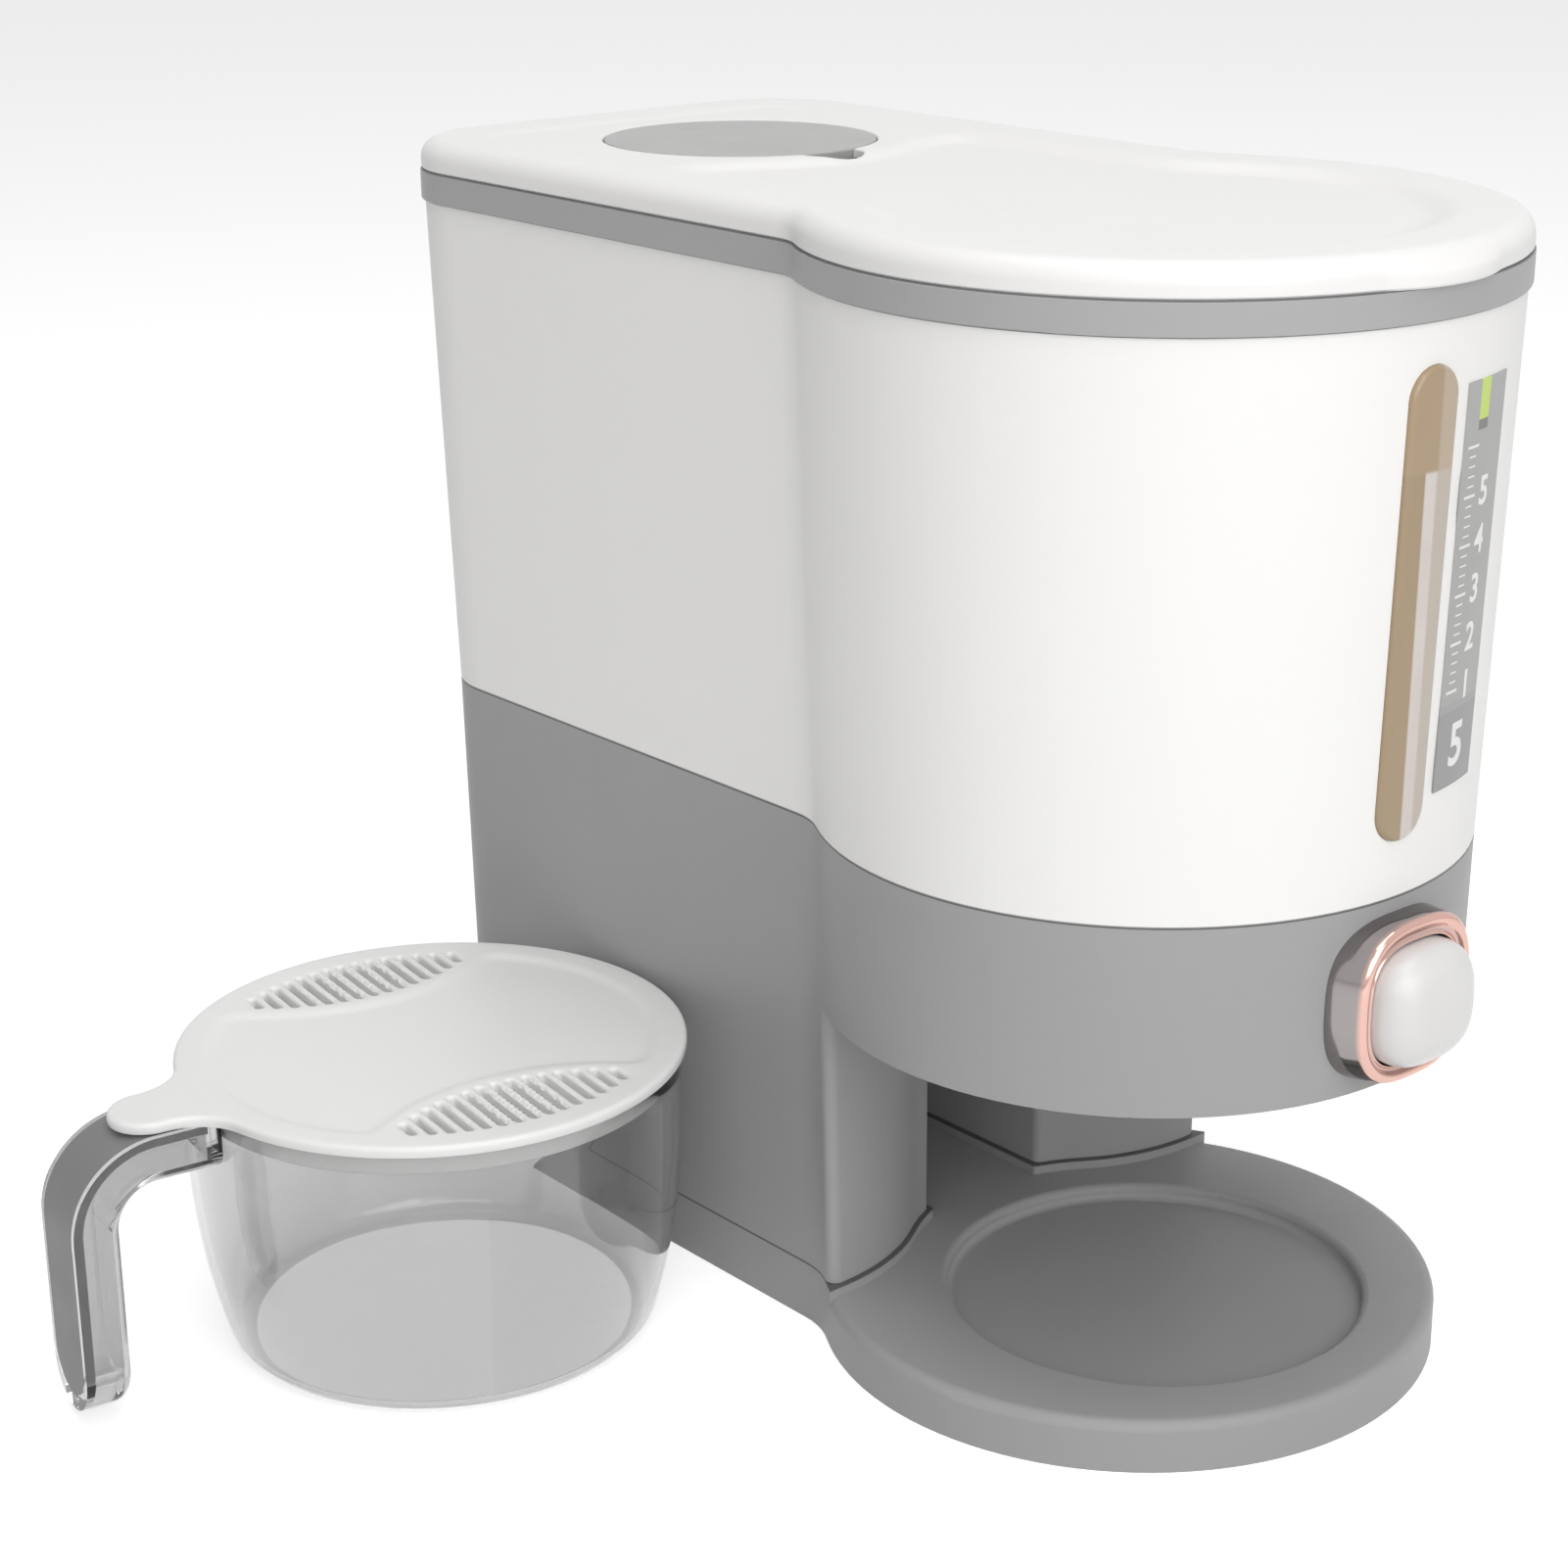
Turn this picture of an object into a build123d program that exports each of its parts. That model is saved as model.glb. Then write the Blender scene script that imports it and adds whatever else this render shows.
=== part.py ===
from build123d import *
import os
from math import atan2, cos, pi, radians, sin, sqrt, tan

# Rice dispenser: a tank over a push-button outlet, with a measuring cup standing beside it.
# Millimetres. X to the right, Y to the rear, Z up.
# The origin is on the floor under the centre of the round nose.

# Plan outline at the joint between tank and housing
NOSE_R = 78.6
SIDE_W = 64.6
REAR_Y = 206.0
REAR_CORNER_R = 24.0
WAIST_R = 20.0

# Heights above the floor
BASE_TOP = 15.5
NOSE_BOTTOM = 90.3
TANK_BOTTOM = 135.6
BAND_BOTTOM = 264.3
BAND_H = 7.7
LID_H = 7.6

# Draft of the walls: the outline is smaller at the base and larger at the rim
BASE_IN = 2.0
TANK_OUT = 3.7

# Mouldings
WALL = 2.5
SLIP = 0.3
TOUCH = 0.1

# Tray at the foot of the nose, a step lower than the seat of the column
TRAY_TOP = 13.0
TRAY_Y = -9.5
TRAY_FLOOR_R = 49.8
TRAY_SLOPE = 3.5
TRAY_DEPTH = 4.0
TRAY_EDGE_R = 2.5
SEAT_MARGIN = 1.2

# Underside of the base
COVER_T = 2.0
COVER_SCREW_IN = 33.3
BOSS_R = 4.5
BOSS_H = 26.0
BOSS_SIDE = 1.0
BOSS_FRONT = 9.0
BOSS_REAR = 4.0
RIB_T = 2.4
PAD_R = 9.0
PAD_T = 1.2

# Bay for the cup, and the niche behind it that takes the cup's handle
BAY_R = 55.6
BAY_TURN = 34.0
PILLAR_Y = 36.6
PILLAR_R = 2.5
NICHE_W = 39.2
NICHE_Y = 108.0

# Screws, by shank radius, head radius and head height
SCREW_R = 1.5
HEAD_R = 3.2
HEAD_H = 1.8
PILOT_GAP = 0.1
TIP_GAP = 3.0

# Lap joint between tank and housing, and the ledge that carries the hopper
LAP_H = 6.0
LAP_T = 1.3
LEDGE_Z = 120.0
LEDGE_D = 4.0
LEDGE_T = 3.0

# Hopper: sloped floor that leads to the throat
THROAT_W = 28.0
THROAT_D = 22.0
THROAT_Z = 104.0
SIDE_SLOPE = 33.0
REAR_SLOPE = 20.0
SHEET_T = 2.8
SKIRT_T = 2.4

# Outlet slot and the gate that covers it
SLOT_W = 28.0
GATE_W = 34.0
GATE_T = 2.5
GATE_TRAVEL = 8.0
CHUTE_DECK_T = 2.4
CHUTE_W = 32.0
CHUTE_D = 18.0
CHUTE_WALL = 2.0

# Push button
BUTTON_Z = 112.4
BUTTON_W = 29.4
BUTTON_H = 28.2
BUTTON_CORNER = 11.0
BUTTON_REACH = 15.4
BUTTON_EDGE_R = 5.5
BUTTON_GAP = 0.5
BEZEL_W = 40.0
BEZEL_H = 39.4
BEZEL_CORNER = 15.0
BEZEL_PROUD = 7.1
BEZEL_TAPER = 1.3
BEZEL_EDGE_R = 1.6
NECK_IN = 2.2
ROD_R = 4.0
ROD_DROP = 6.4
SPRING_R = 6.4
SPRING_WIRE = 1.2
SPRING_TURNS = 6

# Sight window and scale strip
WINDOW_X = -2.6
WINDOW_W = 14.8
WINDOW_LOW = 149.2
WINDOW_HIGH = 255.2
WINDOW_PROUD = 1.4
FLANGE = 2.6
FLANGE_T = 1.4
STRIP_FROM = 6.8
STRIP_TO = 19.8
STRIP_LOW = 157.3
STRIP_HIGH = 249.4
STRIP_T = 0.35

# Rim band
BAND_PROUD = 1.0
NECK_STEP = 1.3
BAND_LIP_T = 1.8

# Lid, with a dished top and a round well for the desiccant box
LID_EDGE_IN = 0.3
LID_EDGE_R = 5.0
LID_TOP_T = 2.2
DISH_IN = 13.0
DISH_DEPTH = 2.6
DISH_SLOPE = 4.0
DISH_LAND = 9.0
PLATFORM_DEPTH = 0.8
PLUG_DEPTH = 9.0
PLUG_T = 2.0
SEAL_H = 3.0
SEAL_D = 1.6
GRIP_REACH = 2.6
GRIP_BOW_R = 40.0
WELL_Y = 147.0
CAP_R = 35.0
CAP_T = 2.4
NOTCH_R = 8.5
BASKET_R = 30.0
BASKET_H = 24.0
BASKET_T = 1.5

# Measuring cup, beside the left wall
CUP_R = 60.8
CUP_H = 72.5
CUP_T = 2.0
CUP_UPRIGHT_Z = 54.0
CUP_CORNER_Z = 4.8
CUP_CORNER_IN = 7.0
CUP_Y = 114.5
CUP_LID_R = 62.4
CUP_LID_T = 2.8
CUP_CLEAR = 2.2
HANDLE_ANGLE = 172.0

# Handle of the cup: an open channel with an insert
HANDLE_REACH = 97.2
HANDLE_W = 21.4
HANDLE_D = 12.0
HANDLE_BEND = 22.0
HANDLE_LOW = 3.8
HANDLE_WALL = 1.6
HANDLE_DROP = 0.3
HANDLE_LEDGE = 2.4
INSERT_D = 2.6
INSERT_LIFT = 2.4

# Cup lid
LID_SKIRT_H = 5.6
LID_SKIRT_T = 3.4
SKIRT_STEP_H = 1.2
SKIRT_STEP_IN = 2.0
LID_RECESS = 0.9
LID_RECESS_R = 55.4
PAD_V = 28.6
PAD_BOW_R = 52.0
SLOTS = 15
SLOT_PITCH = 3.95
SLOT_GAP_W = 2.0
SLOT_IN = 32.0
SLOT_BOW_R = 50.0
SLOT_OUT_R = 54.6
TONGUE_REACH = 82.8
TONGUE_W = 19.0

# Heights and offsets worked out from the values above
BAND_TOP = BAND_BOTTOM + BAND_H
LID_TOP = BAND_TOP + LID_H
NECK_TOP = BAND_TOP - BAND_LIP_T
BAND_OUT = TANK_OUT + BAND_PROUD
LID_OUT = BAND_OUT - LID_EDGE_IN
MOUTH_OUT = TANK_OUT - WALL


def draft(z):
    """How far the outer wall stands outside the plan outline at height z."""
    if z <= BASE_TOP:
        return -BASE_IN
    if z <= TANK_BOTTOM:
        return -BASE_IN * (TANK_BOTTOM - z) / (TANK_BOTTOM - BASE_TOP)
    return TANK_OUT * (z - TANK_BOTTOM) / (BAND_BOTTOM - TANK_BOTTOM)


def outline(grow, z=0.0):
    """Plan outline grown outwards by grow: round nose, hollow waists, straight sides, rounded rear."""
    r = NOSE_R + grow
    w = SIDE_W + grow
    rear = REAR_Y + grow
    corner = REAR_CORNER_R + grow
    waist = WAIST_R - grow
    wx = SIDE_W + WAIST_R
    wy = sqrt((NOSE_R + WAIST_R) ** 2 - wx ** 2)
    turn = atan2(wy, wx)
    nose = (r * cos(turn), r * sin(turn))
    mid = (wx - waist * cos(turn / 2), wy - waist * sin(turn / 2))
    bend = corner * (1 - cos(pi / 4))
    edges = []
    for s in (1, -1):
        edges.append(ThreePointArc((s * nose[0], nose[1]), (s * mid[0], mid[1]), (s * w, wy)))
        edges.append(Line((s * w, wy), (s * w, rear - corner)))
        edges.append(ThreePointArc((s * w, rear - corner), (s * (w - bend), rear - bend),
                                   (s * (w - corner), rear)))
    edges.append(Line((w - corner, rear), (corner - w, rear)))
    edges.append(ThreePointArc((-nose[0], nose[1]), (0, -r), (nose[0], nose[1])))
    return Pos(0, 0, z) * make_face(edges)


def slab(low, high, grow):
    """Straight prism of the outline."""
    return extrude(outline(grow, low), high - low)


def walls(low, high, inset=0.0):
    """Solid inside the drafted outer wall, taken in by inset, between two heights."""
    return loft([outline(draft(low) - inset, low), outline(draft(high) - inset, high)], ruled=True)


def block(x0, x1, y0, y1, z0, z1):
    """Box between corner values."""
    return Pos((x0 + x1) / 2, (y0 + y1) / 2, (z0 + z1) / 2) * Box(x1 - x0, y1 - y0, z1 - z0)


def post(x, y, low, high, r):
    """Upright cylinder."""
    return Pos(x, y, (low + high) / 2) * Cylinder(r, high - low)


def upright(sketch, front, rear):
    """Extrudes a sketch drawn as seen from the front, from y = front to y = rear."""
    return Pos(0, rear, 0) * extrude(Plane.XZ * sketch, rear - front)


def bay_plan():
    """Free space in front of the column: round bay, flared pillars and the niche."""
    a = radians(BAY_TURN)
    nx = NICHE_W / 2
    ny = sqrt(BAY_R ** 2 - nx ** 2)
    ax, ay = BAY_R * sin(a), BAY_R * cos(a)
    m = (atan2(nx, ny) + a) / 2
    far = NOSE_R * 2
    drop = ay - PILLAR_Y
    tip = ax + drop / tan(a / 2)
    edges = []
    for s in (1, -1):
        edges.append(Line((s * nx, NICHE_Y), (s * nx, ny)))
        edges.append(ThreePointArc((s * nx, ny), (s * BAY_R * sin(m), BAY_R * cos(m)), (s * ax, ay)))
        edges.append(TangentArc((s * ax, ay), (s * tip, PILLAR_Y), tangent=(s * cos(a), -sin(a))))
        edges.append(Line((s * tip, PILLAR_Y), (s * far, PILLAR_Y)))
        edges.append(Line((s * far, PILLAR_Y), (s * far, -far)))
    edges.append(Line((-nx, NICHE_Y), (nx, NICHE_Y)))
    edges.append(Line((-far, -far), (far, -far)))
    return make_face(edges)


# Places of screws and pads, tied to the walls that carry them
COLUMN_WALL_X = SIDE_W - BASE_IN
COLUMN_X = COLUMN_WALL_X - WALL - BOSS_R - BOSS_SIDE
COLUMN_YS = (PILLAR_Y + BOSS_R + WALL + BOSS_FRONT, REAR_Y - REAR_CORNER_R - BOSS_REAR)
COLUMN_SCREWS = [(s * COLUMN_X, y) for s in (1, -1) for y in COLUMN_YS]
COVER_R = NOSE_R - COVER_SCREW_IN
COVER_SCREWS = [(COVER_R * sin(radians(a)), -COVER_R * cos(radians(a))) for a in (0, 90, -90)]
PAD_PLACES = [(s * COVER_R * sin(radians(40)), -COVER_R * cos(radians(40))) for s in (1, -1)]
PAD_PLACES += [(s * (COLUMN_X - BOSS_R), NICHE_Y) for s in (1, -1)]
PAD_PLACES += [(s * (COLUMN_X - 2 * PAD_R), REAR_Y - BASE_IN - 2 * PAD_R) for s in (1, -1)]
TRAY_FLOOR = TRAY_TOP - TRAY_DEPTH
BOSS_TOP = BASE_TOP + BOSS_H
HEAD_SEAT = COVER_T + HEAD_H - TOUCH * 2


def screw(x, y, seat, length, up=1):
    """Pan-head screw with its head below the seat and its shank pointing up, or the other way."""
    shank = Pos(0, 0, length / 2) * Cylinder(SCREW_R, length)
    head = Pos(0, 0, -HEAD_H / 2) * Cylinder(HEAD_R, HEAD_H)
    head = chamfer(head.edges().group_by(Axis.Z)[0], HEAD_H * 0.4)
    slot = Pos(0, 0, -HEAD_H + 0.35) * (Box(HEAD_R * 1.2, 0.8, 0.9) + Box(0.8, HEAD_R * 1.2, 0.9))
    one = shank + head - slot
    if up < 0:
        one = Rot(180, 0, 0) * one
    return Pos(x, y, seat) * one


# Base
def make_base_plate():
    """Foot of the dispenser: rounded tray in front, flat seat for the column, open below."""
    plate = slab(0, TRAY_TOP, -BASE_IN)
    plate = fillet(plate.edges().group_by(Axis.Z)[-1], TRAY_EDGE_R)
    bay = offset(bay_plan(), -SEAT_MARGIN)
    plate = plate + (slab(TRAY_TOP / 2, BASE_TOP, -BASE_IN) - extrude(bay, BASE_TOP))
    tray = Plane.XZ * make_face([
        Line((0, TRAY_FLOOR), (TRAY_FLOOR_R, TRAY_FLOOR)),
        TangentArc((TRAY_FLOOR_R, TRAY_FLOOR),
                   (TRAY_FLOOR_R + TRAY_SLOPE / 2, TRAY_FLOOR + TRAY_DEPTH / 2), tangent=(1, 0)),
        TangentArc((TRAY_FLOOR_R + TRAY_SLOPE, TRAY_TOP),
                   (TRAY_FLOOR_R + TRAY_SLOPE / 2, TRAY_FLOOR + TRAY_DEPTH / 2), tangent=(-1, 0)),
        Line((TRAY_FLOOR_R + TRAY_SLOPE, TRAY_TOP), (TRAY_FLOOR_R + TRAY_SLOPE, TRAY_TOP + 1)),
        Line((TRAY_FLOOR_R + TRAY_SLOPE, TRAY_TOP + 1), (0, TRAY_TOP + 1)),
        Line((0, TRAY_TOP + 1), (0, TRAY_FLOOR)),
    ])
    plate = plate - Pos(0, TRAY_Y, 0) * revolve(tray, Axis.Z)
    roof = TRAY_FLOOR - WALL
    rim_plan = outline(-BASE_IN - 2 * WALL) - Pos(0, TRAY_Y) * Circle(TRAY_FLOOR_R + TRAY_SLOPE + WALL)
    hollow = slab(0, roof, -BASE_IN - WALL) + extrude(rim_plan, TRAY_TOP - WALL)
    for x, y in COLUMN_SCREWS + COVER_SCREWS:
        hollow = hollow - post(x, y, COVER_T, BASE_TOP, BOSS_R)
    plate = plate - hollow
    for x, y in COLUMN_SCREWS:
        plate = plate - post(x, y, 0, BASE_TOP + 1, SCREW_R + PILOT_GAP)
        plate = plate - post(x, y, 0, HEAD_SEAT, HEAD_R + PILOT_GAP)
    for x, y in COVER_SCREWS:
        plate = plate - post(x, y, 0, TRAY_FLOOR - 1.0, SCREW_R + PILOT_GAP)
    return plate


def make_base_cover():
    """Flat plate that closes the underside, with seats for the screw heads and pads."""
    cover = slab(0, COVER_T, -BASE_IN - WALL - SLIP)
    for x, y in COLUMN_SCREWS:
        cover = cover - post(x, y, -1, COVER_T + 1, HEAD_R + PILOT_GAP)
    for x, y in COVER_SCREWS:
        cover = cover - post(x, y, -1, COVER_T + 1, SCREW_R + PILOT_GAP)
        cover = cover - post(x, y, -1, COVER_T * 0.6, HEAD_R + PILOT_GAP)
    for x, y in PAD_PLACES:
        cover = cover - post(x, y, -1, PAD_T, PAD_R)
    return cover


def make_foot_pads():
    """Soft pads let into the underside, level with it."""
    pads = [chamfer(post(x, y, 0, PAD_T, PAD_R).edges().group_by(Axis.Z)[0], 0.3) for x, y in PAD_PLACES]
    return Compound(children=[p.solid() for p in pads])


def make_cover_screws():
    """Three short screws that hold the cover to the base."""
    seat = COVER_T * 0.6
    short = HEAD_H * 0.6
    screws = []
    for x, y in COVER_SCREWS:
        shank = post(x, y, seat, TRAY_FLOOR - 1.5, SCREW_R)
        head = post(x, y, seat - short, seat, HEAD_R)
        slot = block(x - HEAD_R * 0.6, x + HEAD_R * 0.6, y - 0.4, y + 0.4, seat - short - 0.1, seat - 0.5)
        screws.append((shank + head - slot).solid())
    return Compound(children=screws)


def make_column_screws():
    """Four long screws that hold the base under the column."""
    return Compound(children=[screw(x, y, HEAD_SEAT, BOSS_TOP - HEAD_SEAT - 2 * TIP_GAP).solid()
                              for x, y in COLUMN_SCREWS])


# Housing
def bezel_hole(grow):
    """Rounded square of the bezel's neck, as seen from the front."""
    return Pos(0, BUTTON_Z) * RectangleRounded(BEZEL_W - 2 * NECK_IN + 2 * grow,
                                               BEZEL_H - 2 * NECK_IN + 2 * grow,
                                               BEZEL_CORNER - NECK_IN + grow)


def column_plan(z):
    """Cross-section of the column, with its outer corners rounded."""
    plan = outline(draft(z)) - bay_plan()
    return Pos(0, 0, z) * offset(offset(plan, -PILLAR_R), PILLAR_R)


def make_lower_housing():
    """Column and nose collar in one moulding, hollow, open at the top and the foot."""
    shell = loft([column_plan(BASE_TOP), column_plan(NOSE_BOTTOM)], ruled=True)
    shell = shell + walls(NOSE_BOTTOM, TANK_BOTTOM)
    core = walls(BASE_TOP, TANK_BOTTOM, WALL) - extrude(offset(bay_plan(), WALL), NOSE_BOTTOM + WALL)
    shell = shell - core - walls(TANK_BOTTOM - LAP_H, TANK_BOTTOM, LAP_T)
    ledge = walls(LEDGE_Z - LEDGE_T, LEDGE_Z, WALL / 2) - walls(LEDGE_Z - LEDGE_T, LEDGE_Z, WALL + LEDGE_D)
    shell = shell + (ledge - block(-NOSE_R, NOSE_R, -NOSE_R, -NOSE_R / 3, 0, TANK_BOTTOM))
    inside = walls(BASE_TOP, BOSS_TOP, WALL / 2)
    for x, y in COLUMN_SCREWS:
        far = NOSE_R if x > 0 else -NOSE_R
        shell = shell + post(x, y, BASE_TOP, BOSS_TOP, BOSS_R)
        shell = shell + (inside & block(min(x, far), max(x, far), y - RIB_T / 2, y + RIB_T / 2, BASE_TOP, BOSS_TOP))
        shell = shell - post(x, y, BASE_TOP, BOSS_TOP - TIP_GAP, SCREW_R + PILOT_GAP)
    shell = shell - upright(bezel_hole(TOUCH), -NOSE_R - 5, -NOSE_R / 2)
    shell = shell - Pos(0, 0, NOSE_BOTTOM) * extrude(chute_plan(SLIP), WALL * 2, both=True)
    for x, y in CHUTE_SCREWS + GUIDE_SCREWS:
        shell = shell - post(x, y, NOSE_BOTTOM - 1, NOSE_BOTTOM + WALL + 1, SCREW_R + PILOT_GAP)
    return shell


# Outlet
CHUTE_TOP = THROAT_Z
GATE_TOP = CHUTE_TOP - CHUTE_DECK_T - TOUCH * 2
GATE_BOTTOM = GATE_TOP - GATE_T
FLOOR_TOP = NOSE_BOTTOM + WALL
SLOT_D = GATE_TRAVEL
GATE_REAR = SLOT_D / 2 + 6.0
GUIDE_Y = -48.0
CAP_BACK = -(NOSE_R - WALL) + 5.5
ROD_Z = BUTTON_Z - ROD_DROP
EAR_X = GATE_W / 2 + CHUTE_WALL + 6.0
CHUTE_SCREWS = [(s * EAR_X, y) for s in (1, -1) for y in (-CHUTE_D / 2, CHUTE_D)]
GUIDE_SCREWS = [(s * 11.0, GUIDE_Y + 9.0) for s in (1, -1)]


def chute_plan(grow):
    """Rounded rectangle of the outlet tube."""
    return RectangleRounded(CHUTE_W + 2 * grow, CHUTE_D + 2 * grow, 5.0 + grow)


def make_outlet_chute():
    """Outlet: deck with the slot, a channel for the gate, the tube below, and four screw ears."""
    w = GATE_W / 2 + SLIP + CHUTE_WALL
    front, rear = -CHUTE_D / 2 - 6.0, GATE_REAR + GATE_TRAVEL + 3.0
    chute = block(-w, w, front, rear, FLOOR_TOP, CHUTE_TOP)
    chute = fillet(chute.edges().filter_by(Axis.Z), 2.0)
    channel = block(-GATE_W / 2 - SLIP, GATE_W / 2 + SLIP, front - 1, rear - 1.5,
                    GATE_BOTTOM - TOUCH * 2, GATE_TOP + TOUCH * 2)
    ears = Part()
    for x, y in CHUTE_SCREWS:
        ears = ears + post(x, y, FLOOR_TOP, FLOOR_TOP + 6.0, BOSS_R)
        ears = ears + block(min(x, x * 0.75), max(x, x * 0.75), y - 1.5, y + 1.5, FLOOR_TOP, FLOOR_TOP + 5.0)
    chute = chute + ears
    tube = Pos(0, 0, NOSE_BOTTOM) * extrude(chute_plan(0), GATE_BOTTOM - NOSE_BOTTOM)
    bore = Pos(0, 0, NOSE_BOTTOM - 1) * extrude(chute_plan(-CHUTE_WALL), GATE_BOTTOM - NOSE_BOTTOM + 1)
    chute = chute + tube - bore - channel
    chute = chute - block(-SLOT_W / 2, SLOT_W / 2, -SLOT_D / 2, SLOT_D / 2, GATE_BOTTOM, CHUTE_TOP + 1)
    for x, y in CHUTE_SCREWS:
        chute = chute - post(x, y, FLOOR_TOP - 1, FLOOR_TOP + 5.0, SCREW_R + PILOT_GAP)
    return chute


def make_chute_screws():
    """Screws from below the nose into the outlet's ears."""
    return Compound(children=[screw(x, y, NOSE_BOTTOM, WALL + 4.5).solid() for x, y in CHUTE_SCREWS])


def make_gate_plate():
    """Sliding gate: a flat plate whose window meets the slot when the button is pressed."""
    front = GUIDE_Y + 12.0
    gate = block(-GATE_W / 2, GATE_W / 2, front, GATE_REAR, GATE_BOTTOM, GATE_TOP)
    gate = fillet(gate.edges().filter_by(Axis.Z), 2.0)
    window = block(-SLOT_W / 2, SLOT_W / 2, -SLOT_D / 2 - GATE_TRAVEL, SLOT_D / 2 - GATE_TRAVEL - 0.6,
                   GATE_BOTTOM - 1, GATE_TOP + 1)
    return gate - fillet(window.edges().filter_by(Axis.Z), 1.5)


def make_plunger():
    """Rod from the button to the gate, with the arm that carries the gate."""
    arm_rear = GUIDE_Y + 12.0
    arm_front = arm_rear - 5.0
    rod = Pos(0, (CAP_BACK + arm_rear) / 2, ROD_Z) * Rot(90, 0, 0) * Cylinder(ROD_R, arm_rear - CAP_BACK)
    arm = block(-6.0, 6.0, arm_front, arm_rear, GATE_BOTTOM, ROD_Z + ROD_R)
    arm = fillet(arm.edges().filter_by(Axis.Y), 1.5)
    return rod + arm


def make_button_guide():
    """Bracket on the nose floor that carries the rod and backs the spring."""
    plate = block(-14.0, 14.0, GUIDE_Y - 3.0, GUIDE_Y, FLOOR_TOP, ROD_Z + 11.0)
    plate = fillet(plate.edges().filter_by(Axis.Y).group_by(Axis.Z)[-1], 8.0)
    foot = block(-14.0, 14.0, GUIDE_Y - 3.0, GUIDE_Y + 13.0, FLOOR_TOP, FLOOR_TOP + 2.5)
    ribs = Part()
    for s in (1, -1):
        rib = Plane.YZ * make_face(Polyline([(GUIDE_Y, FLOOR_TOP + 2), (GUIDE_Y + 4, FLOOR_TOP + 2),
                                             (GUIDE_Y, ROD_Z - 2)], close=True))
        ribs = ribs + Pos(s * 13.0 - 1.0, 0, 0) * extrude(rib, 2.0)
    guide = plate + foot + ribs
    for x, y in GUIDE_SCREWS:
        guide = guide + post(x, y, FLOOR_TOP, FLOOR_TOP + 4.0, 2.8)
        guide = guide - post(x, y, FLOOR_TOP - 1, FLOOR_TOP + 3.2, SCREW_R + PILOT_GAP)
    rod_hole = Pos(0, GUIDE_Y, ROD_Z) * Rot(90, 0, 0) * Cylinder(ROD_R + SLIP, 12.0)
    return guide - rod_hole


def make_guide_screws():
    """Screws from below the nose into the bracket's foot."""
    return Compound(children=[screw(x, y, NOSE_BOTTOM, WALL + 3.0).solid() for x, y in GUIDE_SCREWS])


# Button
def squircle(w, h, corner):
    """Rounded rectangle about the button's centre, as seen from the front."""
    return Pos(0, BUTTON_Z) * RectangleRounded(w, h, corner)


def bezel_face(inset):
    """Outline of the bezel, taken in by inset."""
    return squircle(BEZEL_W - 2 * inset, BEZEL_H - 2 * inset, BEZEL_CORNER - inset)


def make_button_bezel():
    """Plated ring around the button: a proud rounded rim and a neck through the wall."""
    rim = -NOSE_R - BEZEL_PROUD
    ring = loft([Plane.XZ.offset(-rim) * bezel_face(BEZEL_TAPER),
                 Plane.XZ.offset(NOSE_R - WALL) * bezel_face(0)], ruled=True)
    ring = ring + upright(bezel_face(0), -NOSE_R + WALL, -NOSE_R / 2)
    ring = fillet(ring.edges().group_by(Axis.Y)[0], BEZEL_EDGE_R)
    ring = ring - walls(NOSE_BOTTOM, TANK_BOTTOM)
    neck = upright(bezel_hole(0), rim + 3, -NOSE_R + WALL + 3.5)
    ring = ring + neck
    inner = (BEZEL_H - BUTTON_H) / 2 - BUTTON_GAP
    slope = loft([Plane.XZ.offset(-rim + 0.01) * bezel_face(BEZEL_TAPER + BEZEL_EDGE_R),
                  Plane.XZ.offset(-rim - 2.2) * bezel_face(inner)], ruled=True)
    hole = upright(squircle(BUTTON_W + 2 * BUTTON_GAP, BUTTON_H + 2 * BUTTON_GAP, BUTTON_CORNER + BUTTON_GAP),
                   rim - 1, 0)
    return ring - slope - hole


def make_button_cap():
    """Domed push button with side tabs that stop it behind the bezel's neck."""
    front = -NOSE_R - BUTTON_REACH
    cap = upright(squircle(BUTTON_W, BUTTON_H, BUTTON_CORNER), front, CAP_BACK)
    cap = fillet(cap.edges().group_by(Axis.Y)[0], BUTTON_EDGE_R)
    stop = -NOSE_R + WALL + 3.5 + SLIP
    tabs = upright(squircle(BUTTON_W + 4.0, BUTTON_H * 0.5, 3.0), stop, CAP_BACK)
    hollow = upright(squircle(BUTTON_W - 2 * WALL, BUTTON_H - 2 * WALL, BUTTON_CORNER - WALL),
                     front + WALL + 1.0, CAP_BACK + 1.0)
    hub = upright(Pos(0, ROD_Z) * Circle(SPRING_R + SPRING_WIRE), front + WALL, CAP_BACK)
    return cap + tabs - hollow + hub


def make_return_spring():
    """Coil spring around the rod, from the bracket to the back of the button."""
    front, rear = CAP_BACK, GUIDE_Y - 3.0
    length = rear - front - SPRING_WIRE
    path = Helix(pitch=length / SPRING_TURNS, height=length, radius=SPRING_R)
    wire = Plane(path @ 0, z_dir=path % 0) * Rectangle(SPRING_WIRE, SPRING_WIRE)
    coil = sweep(wire, path=path, is_frenet=True)
    return Pos(0, rear - SPRING_WIRE / 2, ROD_Z) * Rot(90, 0, 0) * coil


# Hopper
def funnel(drop):
    """Solid above the sloped floor, lowered by drop: a pyramid that widens upwards."""
    rise = 90.0
    side = rise / tan(radians(SIDE_SLOPE))
    back = rise / tan(radians(REAR_SLOPE))
    low = Pos(0, 0, THROAT_Z - drop) * Rectangle(THROAT_W, THROAT_D)
    high = Pos(0, (back - side) / 2, THROAT_Z - drop + rise) * Rectangle(
        THROAT_W + 2 * side, THROAT_D + side + back)
    return loft([low, high], ruled=True)


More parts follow.
